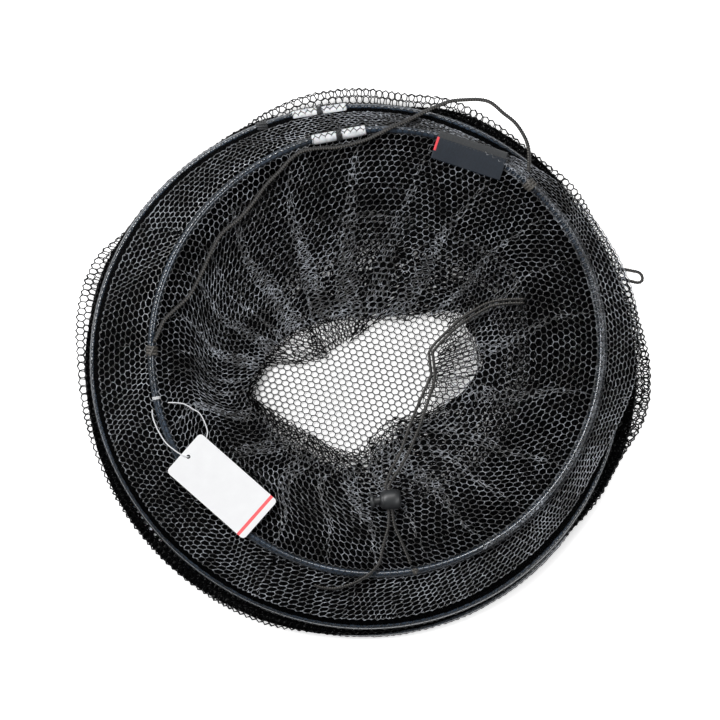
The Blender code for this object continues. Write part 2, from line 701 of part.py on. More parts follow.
def add_plunger(body):
    """The plunger: button, neck and a slotted stem that grips the strands."""
    first, last, half = lock_hole()
    mouth = BARREL_PROFILE[0][0] * MM
    button_back = BUTTON_FACE + BUTTON_THICKNESS
    profile = (
        (BUTTON_FACE, BUTTON / 2 - 0.8 * MM),
        (BUTTON_FACE + 0.7 * MM, BUTTON / 2),
        (button_back - 0.5 * MM, BUTTON / 2),
        (button_back, BUTTON / 2 - 0.5 * MM),
        (button_back, NECK / 2),
        (mouth - GAP, NECK / 2),
        (mouth, STEM / 2),
        (last + STEM_END_WALL, STEM / 2),
    )
    mesh = bmesh.new()
    turned(mesh, profile, LOCK_SIDES)
    plunger = add_mesh("lock_plunger", mesh, lock_plastic, body, local=True)
    slot = box_between((first - PLUNGER_TRAVEL, -STEM, -half), (last, STEM, half))
    cut_with(plunger, slot, "plunger_slot")


def add_spring(body):
    """The spring between the plunger and the closed end of the barrel."""
    start = lock_hole()[1] + STEM_END_WALL + GAP + SPRING_WIRE / 2
    end = BARREL_PROFILE[-1][0] * MM - BARREL_END_WALL - GAP - SPRING_WIRE / 2
    radius = STEM / 2 - SPRING_WIRE / 2 - GAP
    count = round(SPRING_TURNS * SPRING_STEPS)
    points = []
    for i in range(count + 1):
        turn = 2 * math.pi * SPRING_TURNS * i / count
        x = start + (end - start) * i / count
        points.append(Vector((x, radius * math.cos(turn), radius * math.sin(turn))))
    add_curve("lock_spring", points, SPRING_WIRE, 1, spring_steel, body, local=True)
    apart = SPRING_STEPS // 2 + 1
    least = min((a - b).length for i, a in enumerate(points) for b in points[i + apart :])
    print(f"lock_spring: least gap between turns {(least - SPRING_WIRE) / MM:.2f} mm")


def label_axes():
    """The label's middle on the hoop, its direction and its outward side."""
    along = Vector((math.cos(LABEL_TURN), math.sin(LABEL_TURN), 0))
    return hoop_point(MOUTH, LABEL_BEARING), along, UP.cross(along)


def label_fold_out():
    """How far out the label's fold lies to clear the hoop, which bends away under it."""
    middle, along, outward = label_axes()
    half = math.degrees(LABEL_LENGTH / MOUTH.outer)
    bearings = [LABEL_BEARING + half * i / 10 for i in range(-10, 11)]
    reach = max((hoop_point(MOUTH, bearing) - middle).dot(outward) for bearing in bearings)
    return reach + TUBE_OUTER / 2 + 2 * GAP


def label_pocket():
    """The room that the net under the mouth hoop leaves for the label's tuck."""
    middle, along, outward = label_axes()
    low = TUBE_OUTER / 2 + GAP + LABEL_CLOTH + RELIEF
    inner, outer = -LABEL_TUCK - RELIEF, label_fold_out() + LABEL_CLOTH + RELIEF
    centre = middle + outward * (inner + outer) / 2
    return centre, along, (LABEL_LENGTH + 2 * RELIEF, outer - inner, 2 * low)


def add_label(body):
    """A woven label, folded round the mouth hoop and tucked under it."""
    middle, along, outward = label_axes()
    front = TUBE_OUTER / 2 + GAP
    back = front + LABEL_CLOTH
    fold = label_fold_out()
    section = (
        (-LABEL_DROP, front), (-LABEL_DROP, back), (fold + LABEL_CLOTH, back), (fold + LABEL_CLOTH, -back),
        (-LABEL_TUCK, -back), (-LABEL_TUCK, -front), (fold, -front), (fold, front),
    )
    add_rod("label", straight_stations(middle, along, outward, LABEL_LENGTH), section, label_cloth, body)


def add_tag(hitch, body):
    """A swing tag of card, with rounded corners and a hole for its thread."""
    corners = ((1, 1, 0), (-1, 1, 90), (-1, -1, 180), (1, -1, 270))
    outline = []
    for side_x, side_y, start in corners:
        centre = (side_x * (TAG_LENGTH / 2 - TAG_CORNER), side_y * (TAG_WIDTH / 2 - TAG_CORNER))
        for step in range(4):
            turn = math.radians(start + 30 * step)
            outline.append((centre[0] + TAG_CORNER * math.cos(turn), centre[1] + TAG_CORNER * math.sin(turn)))
    hole = regular_outline((-TAG_LENGTH / 2 + TAG_HOLE_INSET, 0), TAG_HOLE / 2, 10)
    turn = Matrix.Rotation(TAG_TURN, 4, "Z")
    place = hitch + TAG_SHIFT

    def placed(loop):
        return [(place + turn @ Vector((x, y, 0)))[:2] for x, y in loop]

    low = place.z
    add_plate("tag_card", placed(outline), [placed(hole)], low, low + TAG_CARD, white_card, body)


for startup in list(bpy.data.objects):
    bpy.data.objects.remove(startup, do_unlink=True)

tube_plastic = finish("tube_plastic", "2b3a4a", 0.3)
white_plastic = finish("white_plastic", "e9eaec", 0.45)
spring_steel = finish("spring_steel", "a8abae", 0.35, 1.0)
black_net = finish("black_net", "14161a", 0.55)
black_cord = finish("black_cord", "17181a", 0.7)
black_twine = finish("black_twine", "111214", 0.75)
lock_plastic = finish("lock_plastic", "2a2c2e", 0.4)
label_cloth = finish("label_cloth", "1c2530", 0.6)
white_card = finish("white_card", "f4f5f6", 0.55)
white_thread = finish("white_thread", "eceef0", 0.7)

base_body = add_body("base_body", (*BASE.centre, BASE.height))
middle_body = add_body("middle_body", (*MIDDLE.centre, MIDDLE.height))
mouth_body = add_body("mouth_body", (*MOUTH.centre, MOUTH.height))
lock_body = add_body("lock_body", lock_place(), LOCK_TILT)
plunger_body = add_body("plunger_body", lock_place(), LOCK_TILT)
hitch = seat(MOUTH, HITCH_BEARING, HITCH_LENGTH)[0]
tag_body = add_body("tag_body", hitch)

add_hoop(BASE, base_body)
add_base_panel(base_body)
add_lower_net(base_body)

add_hoop(MIDDLE, middle_body)
add_upper_net(middle_body)
add_knot("seam_knot", MIDDLE, SEAM_KNOT_BEARING, KNOT_LENGTH, KNOT_WALL, black_twine, middle_body)
add_cord("hang_loop", in_metres(HANG_LOOP_ROUTE), LOOP_CORD, black_cord, middle_body, spacing=2)

add_hoop(MOUTH, mouth_body)
add_collar(mouth_body)
add_hem_cord(mouth_body)
for side, bearing in zip(("left", "right"), CARRY_KNOT_BEARINGS):
    add_knot(f"carry_knot_{side}", MOUTH, bearing, KNOT_LENGTH, KNOT_WALL, black_cord, mouth_body)
add_cord("carry_cord", in_metres(CARRY_ROUTE), CARRY_CORD, black_cord, mouth_body)
left_route = strand_route(LEFT_STRAND, LEFT_TAIL, -1)
add_cord("drawcord_left", left_route, DRAWCORD, black_cord, mouth_body, spacing=2.1)
right_route = strand_route(RIGHT_STRAND, RIGHT_TAIL, 1)
add_cord("drawcord_right", right_route, DRAWCORD, black_cord, mouth_body, spacing=2.1)
add_end_knot(mouth_body)
add_label(mouth_body)
add_knot("tag_hitch", MOUTH, HITCH_BEARING, HITCH_LENGTH, HITCH_WALL, white_thread, mouth_body)

add_barrel(lock_body)
add_spring(lock_body)
add_plunger(plunger_body)

add_tag(hitch, tag_body)
thread_route = [hitch + point for point in in_metres(THREAD_ROUTE)]
add_cord("tag_thread", thread_route, TAG_THREAD, white_thread, tag_body, spacing=1.6, sides_setting=1)
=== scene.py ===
import json
import math
from dataclasses import dataclass

import bmesh
import bpy
import numpy as np
from mathutils import Matrix, Vector


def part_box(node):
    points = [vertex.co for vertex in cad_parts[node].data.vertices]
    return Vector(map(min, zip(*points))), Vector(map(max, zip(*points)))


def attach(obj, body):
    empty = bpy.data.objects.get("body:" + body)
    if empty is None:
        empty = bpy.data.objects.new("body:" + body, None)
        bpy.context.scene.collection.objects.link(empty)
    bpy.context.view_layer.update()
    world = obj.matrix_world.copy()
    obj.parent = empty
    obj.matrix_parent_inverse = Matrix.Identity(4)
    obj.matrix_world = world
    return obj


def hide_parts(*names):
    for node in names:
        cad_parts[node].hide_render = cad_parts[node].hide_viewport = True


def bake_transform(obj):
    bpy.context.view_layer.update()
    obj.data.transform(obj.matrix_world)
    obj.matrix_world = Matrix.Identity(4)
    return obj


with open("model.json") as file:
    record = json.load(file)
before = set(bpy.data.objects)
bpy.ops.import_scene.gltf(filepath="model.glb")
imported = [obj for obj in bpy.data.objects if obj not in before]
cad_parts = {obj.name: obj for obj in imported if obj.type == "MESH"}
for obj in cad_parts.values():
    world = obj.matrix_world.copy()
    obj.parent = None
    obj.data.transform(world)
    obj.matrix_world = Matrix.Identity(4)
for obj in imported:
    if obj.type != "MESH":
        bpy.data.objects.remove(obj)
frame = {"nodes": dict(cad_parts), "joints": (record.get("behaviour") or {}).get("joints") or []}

MM = 0.001
UP = np.array((0.0, 0.0, 1.0))
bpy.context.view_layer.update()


def middle_of(node):
    low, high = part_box(node)
    return (np.array(low) + np.array(high)) / 2


def across(node):
    low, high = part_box(node)
    return np.array(high) - np.array(low)


# Hoops
TUBE = 4.3 * MM
TUBE_BORE = 3.1 * MM
TUBE_BUTT = 1.5 * MM
SLEEVE_LENGTH = 36 * MM
SLEEVE = 6.8 * MM
SLEEVE_BORE = 4.9 * MM
JOINT_SPARE = 1 * MM
BINDING_TWINE = 0.62 * MM
BINDING_PITCH = 0.68 * MM
BINDING_TURNS = 5.8
GAP = 0.3 * MM


@dataclass
class Hoop:
    """A hoop's place and the slight bends that pull it out of a true circle; bearings are in degrees."""

    name: str
    centre: tuple
    outer: float
    oval: float
    oval_at: float
    lobe: float
    lobe_at: float
    joint_at: float

    @property
    def height(self):
        return middle_of(f"{self.name}_hoop_tube")[2]


BASE = Hoop("base", (-4.6 * MM, -7.9 * MM), 350 * MM, 1.6 * MM, -11, 1.4 * MM, 52, 215)
MIDDLE = Hoop("middle", (-3.1 * MM, -2.7 * MM), 350 * MM, 1.6 * MM, -11, 1.4 * MM, 52, 98.8)
MOUTH = Hoop("mouth", (9.1 * MM, 6.8 * MM), 300 * MM, 1.4 * MM, 22, 0.6 * MM, 46, 100.1)

# Nets
MESH = 4.4 * MM
ROW = MESH * math.sqrt(3) / 2
PANEL_MESH = 4.08 * MM
PANEL_STRETCH = 1.15  # along its rows
PANEL_TURN = math.radians(-17)
LOWER_ROWS = 168
UPPER_ROWS = 126
COLLAR_ROWS = 104
LOWER_FOLDS = 9
UPPER_FOLDS = 12
SECTION_PLEATS = 17
COLLAR_PLEATS = 23
LOWER_SHARE = 0.57  # how far in the lower folds reach under the collar
UPPER_REACH = 8 * MM  # that the upper folds reach in from the mouth hoop

# Threads; under the top layer they are drawn thicker, so that the folds close up as the knitted net does
THREAD = 0.56 * MM
PANEL_THREAD = 1.44 * THREAD
LOWER_THREAD = 1.4 * THREAD
COVERED_THREAD = 1.85 * THREAD
RIM_THREAD = 1.1 * THREAD  # in the collar's thin edge round the window
TURNED_THREAD = 2.0 * THREAD  # in the collar where it has turned back under itself
HEM_THREAD = 2.6 * THREAD

# How unevenly the net lies: turned, in radians, or moved along its fall, as a share of it
SECTION_LEAN = 0.4
SECTION_SWAY = 0.15
SECTION_STRAY = 0.06
SECTION_JITTER = (0.16 * MM, 0.16 * MM, 0.008 * MM)  # less in height, which is drawn out with the net
SECTION_LAYER = 0.05 * MM
COLLAR_SWAY = 0.3
COLLAR_STRAY = 0.1
COLLAR_SAG = 0.05
COLLAR_JITTER = (0.16 * MM, 0.16 * MM, 0.22 * MM)
COLLAR_LAYER = 0.7 * MM
HOOP_JITTER = (0.14 * MM, 0.14 * MM, 0.02 * MM)

# The folds that stand out furthest
LOWER_VEIL_FOLD = 5
SECOND_VEIL_FOLD = 3
SECOND_VEIL_AT = -4
SECOND_VEIL_WIDTH = 24
SECOND_VEIL_SHARE = 0.85  # of the lower veil's reach, at the right
UPPER_VEIL_FOLD = 11

# How far the lower net stands out beyond the middle hoop: its outermost fold and its other folds
VEIL_EDGE = (
    (0, 21), (10, 16), (20, 13), (30, 10.5), (40, 13), (50, 10), (70, 15.6), (80, 12.6), (90, 13.9),
    (100, 13.2), (110, 9.4), (120, 3), (140, 4), (150, 5), (157, 13.6), (163, 15.8), (170, 15.2), (180, 12),
    (200, 11.5), (220, 13), (240, 13.5), (250, 13), (260, 9.4), (270, 6.9), (290, 3.7), (300, 2.9),
    (320, 4.6), (330, 9.3), (340, 12.2), (350, 21.3),
)
FOLDS_EDGE = (
    (0, 11.5), (10, 9), (30, 5.5), (50, 8), (70, 8), (80, 3), (90, 1.7), (100, -5.6), (110, 4), (130, 2),
    (150, 3.4), (160, 5.4), (180, 5.6), (200, 8), (210, 10), (220, 11), (240, 11), (260, 8), (280, 4),
    (300, 1), (320, 3), (330, 7), (340, 10.5), (350, 12),
)
UPPER_EDGE = (  # the same for the upper net
    (0, 12), (14, 15), (30, 10.5), (42, 6), (58, -3.2), (80, -3), (160, -2.8), (250, -2.8), (335, -2.8),
)

# The window in the collar, from its own centre
WINDOW_CENTRE = (-8.9 * MM, -12.3 * MM)
WINDOW_EDGE = (
    (1, 51), (24, 66), (31, 74), (44, 56), (60, 45), (76, 40), (100, 39), (124, 42), (146, 48),
    (176, 57), (190, 63), (203, 53), (233, 43), (254, 44.5), (272, 46), (308, 35), (335, 45),
)
HEM_SHARE = 0.5
HEM_ENDS = (27, 377)  # the bearings at which the strands leave it
COLLAR_SHARES = (0.0, 0.82, 0.04, 0.42, 0.08, 0.64)  # where it turns back, from the window to the hoop at 1
FOLD_TWIST = 0.16  # by which each of its first folds lies turned against the last, in radians
SPARSE_AT = 3  # the bearing where fewest of its folds reach the window, and how far round that goes
SPARSE_WIDTH = 24
SPARSE_REACH = 0.45  # the folds that lie further out than this share stay
SPARSE_SHARE = 0.3
RAGGED = (0.55, 1.25)  # how far the thin edge goes, as shares of THIN_EDGE
LIP_EDGE = (  # how far its second fold hangs into the window
    (0, 0), (40, 0), (57, 1), (75, 12), (98, 20), (120, 25), (144, 26), (161, 17), (176, 2), (240, 2),
    (300, 0),
)
THIN_EDGE = (  # how far out from the window the collar is only two or three sheets deep
    (0, 36), (20, 30), (40, 8), (60, 5), (90, 4), (150, 5), (175, 10), (200, 16), (225, 22), (250, 19),
    (275, 17), (300, 17), (320, 20), (340, 32),
)

# Net round the hoops, and more of it that lies loose over the mouth hoop's right side
TIGHT_LIFT = 0.06 * MM
LOOSE_LIFTS = {3: 0.5 * MM, 4: 0.9 * MM}
LOOSE_AT = 0
LOOSE_SPREAD = 62
LIFT_SHIFT = 31  # degrees round for each millimetre of lift, so that the cells of two layers don't line up

# Cords
BRAID_PITCH = 1.7 * MM  # along it, between the strands on one side
CARRY_CORD = 2.8 * MM
DRAWCORD = 2.2 * MM
LOOP_CORD = 2.3 * MM
TAG_THREAD = 0.9 * MM

# Routes, in millimetres
CARRY_ROUTE = (
    (-138.8, 12.4, 24.8), (-136.2, 16.5, 24.6), (-131.5, 27.0, 24.2), (-123.5, 35.0, 24.0),
    (-114.5, 44.0, 24.0), (-106.3, 59.3, 24.0), (-99.7, 73.8, 24.0), (-93.0, 84.8, 24.0),
    (-81.8, 94.4, 24.0), (-72.5, 105.0, 24.0), (-64.6, 115.9, 24.0), (-55.3, 125.5, 24.2),
    (-48.0, 133.5, 24.4), (-40.1, 138.8, 24.6), (-29.0, 140.6, 24.6), (-18.5, 141.2, 24.6),
    (-7.0, 143.6, 24.8), (4.0, 147.2, 25.2), (17.6, 154.0, 25.0), (28.1, 158.6, 22.6),
    (39.1, 164.2, 20.8), (50.0, 169.2, 20.4), (58.0, 171.9, 20.4), (67.9, 172.8, 20.4),
    (77.2, 172.8, 20.4), (84.5, 170.6, 20.4), (92.4, 163.9, 20.4), (99.7, 158.0, 20.4),
    (105.0, 150.7, 20.4), (108.4, 143.0, 20.4), (109.3, 134.0, 20.6), (108.8, 124.8, 21.8),
)
LEFT_STRAND = (
    (106.3, 41.3, 19.6), (92.4, 40.7, 18.8), (82.1, 38.6, 17.4), (73.5, 34.0, 15.8), (64.9, 28.6, 14.6),
    (58.0, 22.6, 13.9), (51.8, 16.6, 13.6), (46.5, 11.0, 13.4),
)
LEFT_RUN = (
    (42.0, -15.3, 13.4), (36.6, -27.5, 14.0), (30.2, -43.4, 15.8), (24.4, -59.8, 18.2), (18.8, -70.6, 20.0),
)
LEFT_TAIL = (
    (16.2, -109.6, 21.6), (14.4, -116.2, 23.0), (12.3, -124.9, 24.4), (10.3, -132.8, 25.0),
    (4.7, -139.4, 25.2), (-2.4, -144.2, 24.4), (-8.2, -147.0, 21.8), (-18.8, -149.8, 20.6),
    (-28.1, -149.1, 20.4), (-32.8, -147.4, 20.4),
)
RIGHT_STRAND = (
    (106.3, 38.7, 19.6), (92.6, 38.1, 18.8), (83.2, 36.0, 17.4), (75.0, 31.6, 15.8), (66.5, 26.2, 14.6),
    (59.7, 20.9, 13.9), (53.5, 14.9, 13.6), (48.6, 9.9, 13.4),
)
RIGHT_RUN = (
    (46.6, -13.6, 13.4), (43.0, -25.0, 14.0), (37.4, -42.0, 15.8), (30.0, -59.4, 18.4), (24.4, -69.8, 20.0),
)
RIGHT_TAIL = (
    (20.9, -109.6, 21.8), (24.8, -118.2, 23.2), (28.1, -126.2, 24.6), (31.3, -133.6, 25.2),
)
HANG_LOOP_ROUTE = (
    (161.3, 60.6, 12.6), (166.0, 61.1, 12.6), (172.0, 60.9, 12.6), (178.0, 59.8, 12.6),
    (181.8, 58.9, 12.6), (184.0, 56.6, 12.6), (184.1, 53.6, 12.6), (181.6, 52.2, 12.6),
    (177.5, 52.9, 12.6), (172.0, 54.3, 12.6), (166.5, 55.0, 12.6), (163.3, 55.3, 12.6),
)
THREAD_ROUTE = (  # from its hitch on the mouth hoop
    (-2.9, -7.4, 1.5), (-2.4, -12.6, 1.4), (0.6, -20.5, 1.9), (6.0, -29.1, 3.1), (11.2, -33.7, 4.5),
    (15.6, -36.7, 5.1), (18.8, -38.2, 5.3), (20.7, -38.7, 5.1), (21.1, -38.6, 4.0), (21.4, -38.4, 2.9),
    (23.0, -37.6, 2.4), (28.2, -32.8, 2.4), (32.6, -26.6, 2.4), (33.4, -20.5, 2.4), (29.0, -10.6, 2.3),
    (24.3, -7.3, 2.3), (18.4, -3.9, 2.0), (12.9, -3.0, 1.4), (7.4, -2.9, 0.3),
)

# Cord lock; places are along its plunger from the middle of the barrel
LOCK_HOLE = -1.0 * MM
PLUNGER_TRAVEL = 2.5 * MM
SPRING_ENDS = (2.97 * MM, 5.6 * MM)
SPRING_RADIUS = 2.33 * MM
SPRING_TURNS = 2.5
SPRING_WIRE = 0.5 * MM
LOCK_BORE = 3.2
BARREL_PROFILE = (  # millimetres along the plunger and out from it
    (-6.3, LOCK_BORE), (-6.75, LOCK_BORE + 0.3), (-6.9, 3.9), (-6.85, 4.5), (-6.5, 5.1), (-5.9, 5.6),
    (-5.2, 5.9), (-4.9, 5.84), (-4.6, 6.1), (-3.2, 6.5), (-1.5, 6.66), (0, 6.68), (1.5, 6.66), (3.2, 6.5),
    (4.6, 6.08), (5.7, 5.5), (6.4, 4.7), (6.75, 3.6), (6.88, 2.2), (6.8, 1.0), (6.62, 0.9), (6.6, 0.02),
    (6.1, 0.02), (6.1, LOCK_BORE - 0.3), (5.8, LOCK_BORE), (0, LOCK_BORE),
)
PLUNGER_PROFILE = (
    (-12.7, 0.02), (-12.75, 1.6), (-13.05, 3.2), (-13.5, 4.1), (-13.55, 4.5), (-13.2, 5.0), (-12.6, 5.1),
    (-12.0, 5.1), (-11.5, 4.9), (-11.25, 4.4), (-11.2, 3.4), (-11.0, 2.85), (-10.4, 2.68), (-7.6, 2.68),
    (-7.3, 2.8), (-6.9, 2.88), (1.9, 2.88), (2.35, 2.6), (2.42, 0.02),
)

# Label and tag
LABEL_LENGTH = 48 * MM
LABEL_DROP = 15 * MM
LABEL_CLOTH = 0.6 * MM
LABEL_TUCK = 1.5 * MM
LABEL_BEARING = 65
LABEL_TURN = math.radians(-18.3)
LABEL_FOLD = 3.2 * MM  # out from the hoop, which bends away under it
LABEL_EDGE = 1.3 * MM
STITCH_PITCH = 2.6 * MM
TAG_WIDTH = 34 * MM
TAG_LENGTH = 68 * MM
TAG_CARD = 0.5 * MM
TAG_CORNER = 2.6 * MM
TAG_HOLE = 2.7 * MM
TAG_HOLE_INSET = 4.6 * MM
TAG_CURL = 0.8 * MM
TAG_STRIPE = (28.0 * MM, 30.1 * MM)  # from the card's middle
TAG_TURN = math.radians(-41.4)

# Camera and light
CAMERA_CENTRE = (-2.3 * MM, 1.0 * MM)
CAMERA_HEIGHT = 6.0
FRAME_WIDTH = 476.9 * MM
SOFTBOXES = (  # name, place, length, width and power
    ("softbox_left", (-1.1, 0.72, 1.55), 2.0, 0.26, 40),
    ("softbox_right", (1.3, -0.45, 1.5), 1.8, 0.22, 14),
    ("softbox_beyond", (0.2, 1.6, 1.6), 1.0, 0.25, 10),
)
SURROUND = 0.06
FLOOR_HALF = 40
FLOOR_DROP = 0.2 * MM
PAPER_GLOW = (  # a centre, how far from it the paper's painted glow begins and is full, and its strength there
    (MIDDLE.centre, 170 * MM, 186 * MM, 0.8),  # outside the hoops
    ((16 * MM, -4 * MM), 90 * MM, 66 * MM, 0.35),  # in the window
    (MIDDLE.centre, 250 * MM, 1200 * MM, 1.0),
)


# Shapes

def grid_faces(rows, columns, wrap_rows=False, wrap_columns=True):
    """Quads between neighbouring rows of points."""
    j = np.arange(rows if wrap_rows else rows - 1)
    i = np.arange(columns if wrap_columns else columns - 1)
    j, i = (part.ravel() for part in np.meshgrid(j, i, indexing="ij"))
    below, right = (j + 1) % rows, (i + 1) % columns
    return np.stack([j * columns + i, j * columns + right, below * columns + right, below * columns + i], 1)


def add_mesh(name, points, faces, material, smooth=True, shaded=None):
    """A mesh object from arrays of points and of faces with the same number of corners each.

    shaded is true for the faces of net that lies in folds; they get the net's copy painted nearly black as
    shade.
    """
    data = bpy.data.meshes.new(name)
    data.vertices.add(len(points))
    data.vertices.foreach_set("co", np.asarray(points, np.float32).ravel())
    data.loops.add(faces.size)
    data.loops.foreach_set("vertex_index", np.asarray(faces, np.int32).ravel())
    data.polygons.add(len(faces))
    data.polygons.foreach_set("loop_start", np.arange(0, faces.size, faces.shape[1], dtype=np.int32))
    data.update(calc_edges=True)
    data.polygons.foreach_set("use_smooth", np.full(len(faces), smooth))
    data.materials.append(material)
    if shaded is not None:
        data.materials.append(mesh_painted_shade)
        data.polygons.foreach_set("material_index", shaded.astype(np.int32))
    made = bpy.data.objects.new(name, data)
    bpy.context.scene.collection.objects.link(made)
    return made


def joined(parts):
    """Several cords as one, each given by its points, faces and crowns."""
    offsets = np.cumsum([0] + [len(part[0]) for part in parts[:-1]])
    points = np.concatenate([part[0] for part in parts])
    faces = np.concatenate([part[1] + offset for part, offset in zip(parts, offsets)])
    return points, faces, np.concatenate([part[2] for part in parts])


def add_strands(name, points, faces, crowns, material):
    """A mesh of cord that keeps how far each place stands out of the grooves between its strands, which its
    material uses for painted shade in the grooves and painted highlight on the crowns.
    """
    piece = add_mesh(name, points, faces, material)
    piece.data.attributes.new("crown", "FLOAT", "POINT").data.foreach_set("value", crowns)
    return piece


def distances(points):
    """How far along a row of points each one is."""
    return np.concatenate([[0], np.cumsum(np.linalg.norm(np.diff(points, axis=0), axis=1))])


def along_route(route, spacing):
    """Points a steady distance apart on a Catmull-Rom curve through a route."""
    known = np.asarray(route, float)
    known = np.vstack([2 * known[0] - known[1], known, 2 * known[-1] - known[-2]])
    t = np.linspace(0, 1, 24, endpoint=False)[:, None]
    fine = []
    for a, b, c, d in zip(known, known[1:], known[2:], known[3:]):
        bend = (2 * a - 5 * b + 4 * c - d) * t**2 + (3 * b - a - 3 * c + d) * t**3
        fine.append(0.5 * (2 * b + (c - a) * t + bend))
    fine = np.vstack([*fine, known[-2:-1]])
    run = distances(fine)
    even = np.linspace(0, run[-1], max(4, round(run[-1] / spacing) + 1))
    return np.stack([np.interp(even, run, fine[:, axis]) for axis in range(3)], 1)


def side_axes(points, closed=False):
    """Two steady directions square to a row of points, carried along without twisting."""
    if closed:
        tangents = np.roll(points, -1, 0) - np.roll(points, 1, 0)
    else:
        tangents = np.gradient(points, axis=0)
    tangents /= np.linalg.norm(tangents, axis=1, keepdims=True)
    first = np.cross(tangents[0], UP if abs(tangents[0][2]) < 0.9 else (1, 0, 0))
    sides = [first / np.linalg.norm(first)]
    for tangent in tangents[1:]:
        side = sides[-1] - tangent * (sides[-1] @ tangent)
        sides.append(side / np.linalg.norm(side))
    sides = np.array(sides)
    return sides, np.cross(tangents, sides)


def tube(points, radius, sides, closed=False):
    """A tube along points; radius is a number or an array of (points, sides)."""
    points = np.asarray(points, float)
    side, over = side_axes(points, closed)
    turn = 2 * np.pi * np.arange(sides) / sides
    radius = np.broadcast_to(radius, (len(points), sides))[..., None]
    ring = side[:, None] * np.cos(turn)[:, None] + over[:, None] * np.sin(turn)[:, None]
    surface = points[:, None] + ring * radius
    return surface.reshape(-1, 3), grid_faces(len(points), sides, closed)


def round_ends(points, radius):
    """A radius along a row of points that closes to a rounded tip at both ends."""
    run = distances(points)
    near = np.clip(np.minimum(run, run[-1] - run) / radius, 0, 1)
    return radius * np.clip(np.sqrt(1 - (1 - near) ** 2), 0.02, 1)


def braided(points, diameter, strands=3, sides=30):
    """A braided cord: two families of strands wind opposite ways, each over and under the other."""
    run = distances(points)[:, None]
    turn = np.arange(sides)[None] / sides
    lay = strands * BRAID_PITCH
    left = strands * (turn + run / lay)
    right = strands * (turn - run / lay)
    over = (np.floor(left) + np.floor(right)) % 2 < 1
    mine, other = np.where(over, left, right) % 1, np.where(over, right, left) % 1
    bulge = np.sin(np.pi * mine) * (0.3 + 0.7 * np.sin(np.pi * other))
    bulge = bulge * (0.2 + 0.8 * np.cos(np.pi * run / BRAID_PITCH) ** 2)
    radius = round_ends(points, diameter / 2)[:, None] * (0.8 + 0.25 * bulge)
    return *tube(points, radius, sides), bulge.ravel()


def twisted(points, diameter, plies=3, sides=16, lay=3.0):
    """A laid twine of a few plies."""
    run = distances(points)[:, None]
    turn = 2 * np.pi * np.arange(sides)[None] / sides
    ply = np.abs(np.cos(plies / 2 * (turn + 2 * np.pi * run / (lay * diameter))))
    return *tube(points, round_ends(points, diameter / 2)[:, None] * (0.8 + 0.2 * ply), sides), ply.ravel()


def threads(points, pairs, thickness, pressed=1.0):
    """Three-sided threads between pairs of points, a little longer than the pairs so that they meet.

    pressed scales their height, for a folded section that is drawn out to many times its height.
    """
    starts, ends = points[pairs[:, 0]], points[pairs[:, 1]]
    radius = np.broadcast_to(thickness / 2, len(starts))[:, None]
    along = ends - starts
    along /= np.linalg.norm(along, axis=1, keepdims=True) + 1e-12
    side = np.cross(along, np.where(np.abs(along[:, 2:]) < 0.9, UP, (1.0, 0.0, 0.0)))
    side /= np.linalg.norm(side, axis=1, keepdims=True)
    over = np.cross(side, along)
    starts, ends = starts - along * radius * 0.4, ends + along * radius * 0.4
    turns = np.radians((90, 210, 330))
    ring = side[:, None] * np.cos(turns)[:, None] + over[:, None] * np.sin(turns)[:, None]
    ring = ring * radius[:, None] * (1, 1, pressed)
    points = np.stack([starts[:, None] + ring, ends[:, None] + ring], 1)
    faces = np.array([(k, (k + 1) % 3, (k + 1) % 3 + 3, k + 3) for k in range(3)])
    faces = faces[None] + 6 * np.arange(len(starts))[:, None, None]
    return points.reshape(-1, 3), faces.reshape(-1, 4)


def hex_net(columns, rows):
    """A hexagonal net that closes on itself: places as shares round and along, and its threads."""
    i, j = (part.ravel() for part in np.meshgrid(np.arange(columns), np.arange(rows)))
    shift = (j % 2) / 2
    around = np.concatenate([i + shift, i + shift]) / columns
    length = np.concatenate([j, j + 2 / 3]) / rows
    count = columns * rows
    near = j * columns + i
    lower = j > 0
    left = (i - 1 + j % 2) % columns
    below = count + (j - 1) * columns
    pairs = [
        np.stack([near, near + count], 1),
        np.stack([near, below + left], 1)[lower],
        np.stack([near, below + (left + 1) % columns], 1)[lower],
    ]
    return around, length, np.concatenate(pairs)


def smooth_around(table, bearings):
    """A smooth closed curve through (bearing in degrees, millimetres) pairs, in metres."""
    known = np.array(sorted(table), float)
    at = np.concatenate([known[-2:, 0] - 360, known[:, 0], known[:3, 0] + 360])
    value = np.concatenate([known[-2:, 1], known[:, 1], known[:3, 1]])
    slope = np.zeros(len(at))
    slope[1:-1] = (value[2:] - value[:-2]) / (at[2:] - at[:-2])
    bearings = np.asarray(bearings, float) % 360
    i = np.clip(np.searchsorted(at, bearings, side="right") - 1, 1, len(at) - 3)
    span = at[i + 1] - at[i]
    t = (bearings - at[i]) / span
    return MM * (
        (2 * t**3 - 3 * t**2 + 1) * value[i]
        + (t**3 - 2 * t**2 + t) * span * slope[i]
        + (3 * t**2 - 2 * t**3) * value[i + 1]
        + (t**3 - t**2) * span * slope[i + 1]
    )


def hoop_curve(hoop, bearings, out=0.0):
    """Plan points by bearing in degrees, out from the tube's centre line."""
    turn = np.radians(bearings)
    reach = (
        (hoop.outer - TUBE) / 2
        + hoop.oval * np.cos(2 * (turn - math.radians(hoop.oval_at)))
        + hoop.lobe * np.cos(3 * (turn - math.radians(hoop.lobe_at)))
        + out
    )
    return np.stack([hoop.centre[0] + reach * np.cos(turn), hoop.centre[1] + reach * np.sin(turn)], -1)


def at_height(plan, height):
    return np.concatenate([plan, np.broadcast_to(height, plan.shape[:-1])[..., None]], -1)


def bearing_from(bearing, at):
    """A bearing as seen from another, from -180 to 180 degrees."""
    return (bearing - at + 180) % 360 - 180


def bump(bearing, at, width):
    """A smooth share that is 1 at one bearing and falls off to both sides."""
    return np.exp(-(bearing_from(bearing, at) / width) ** 2)


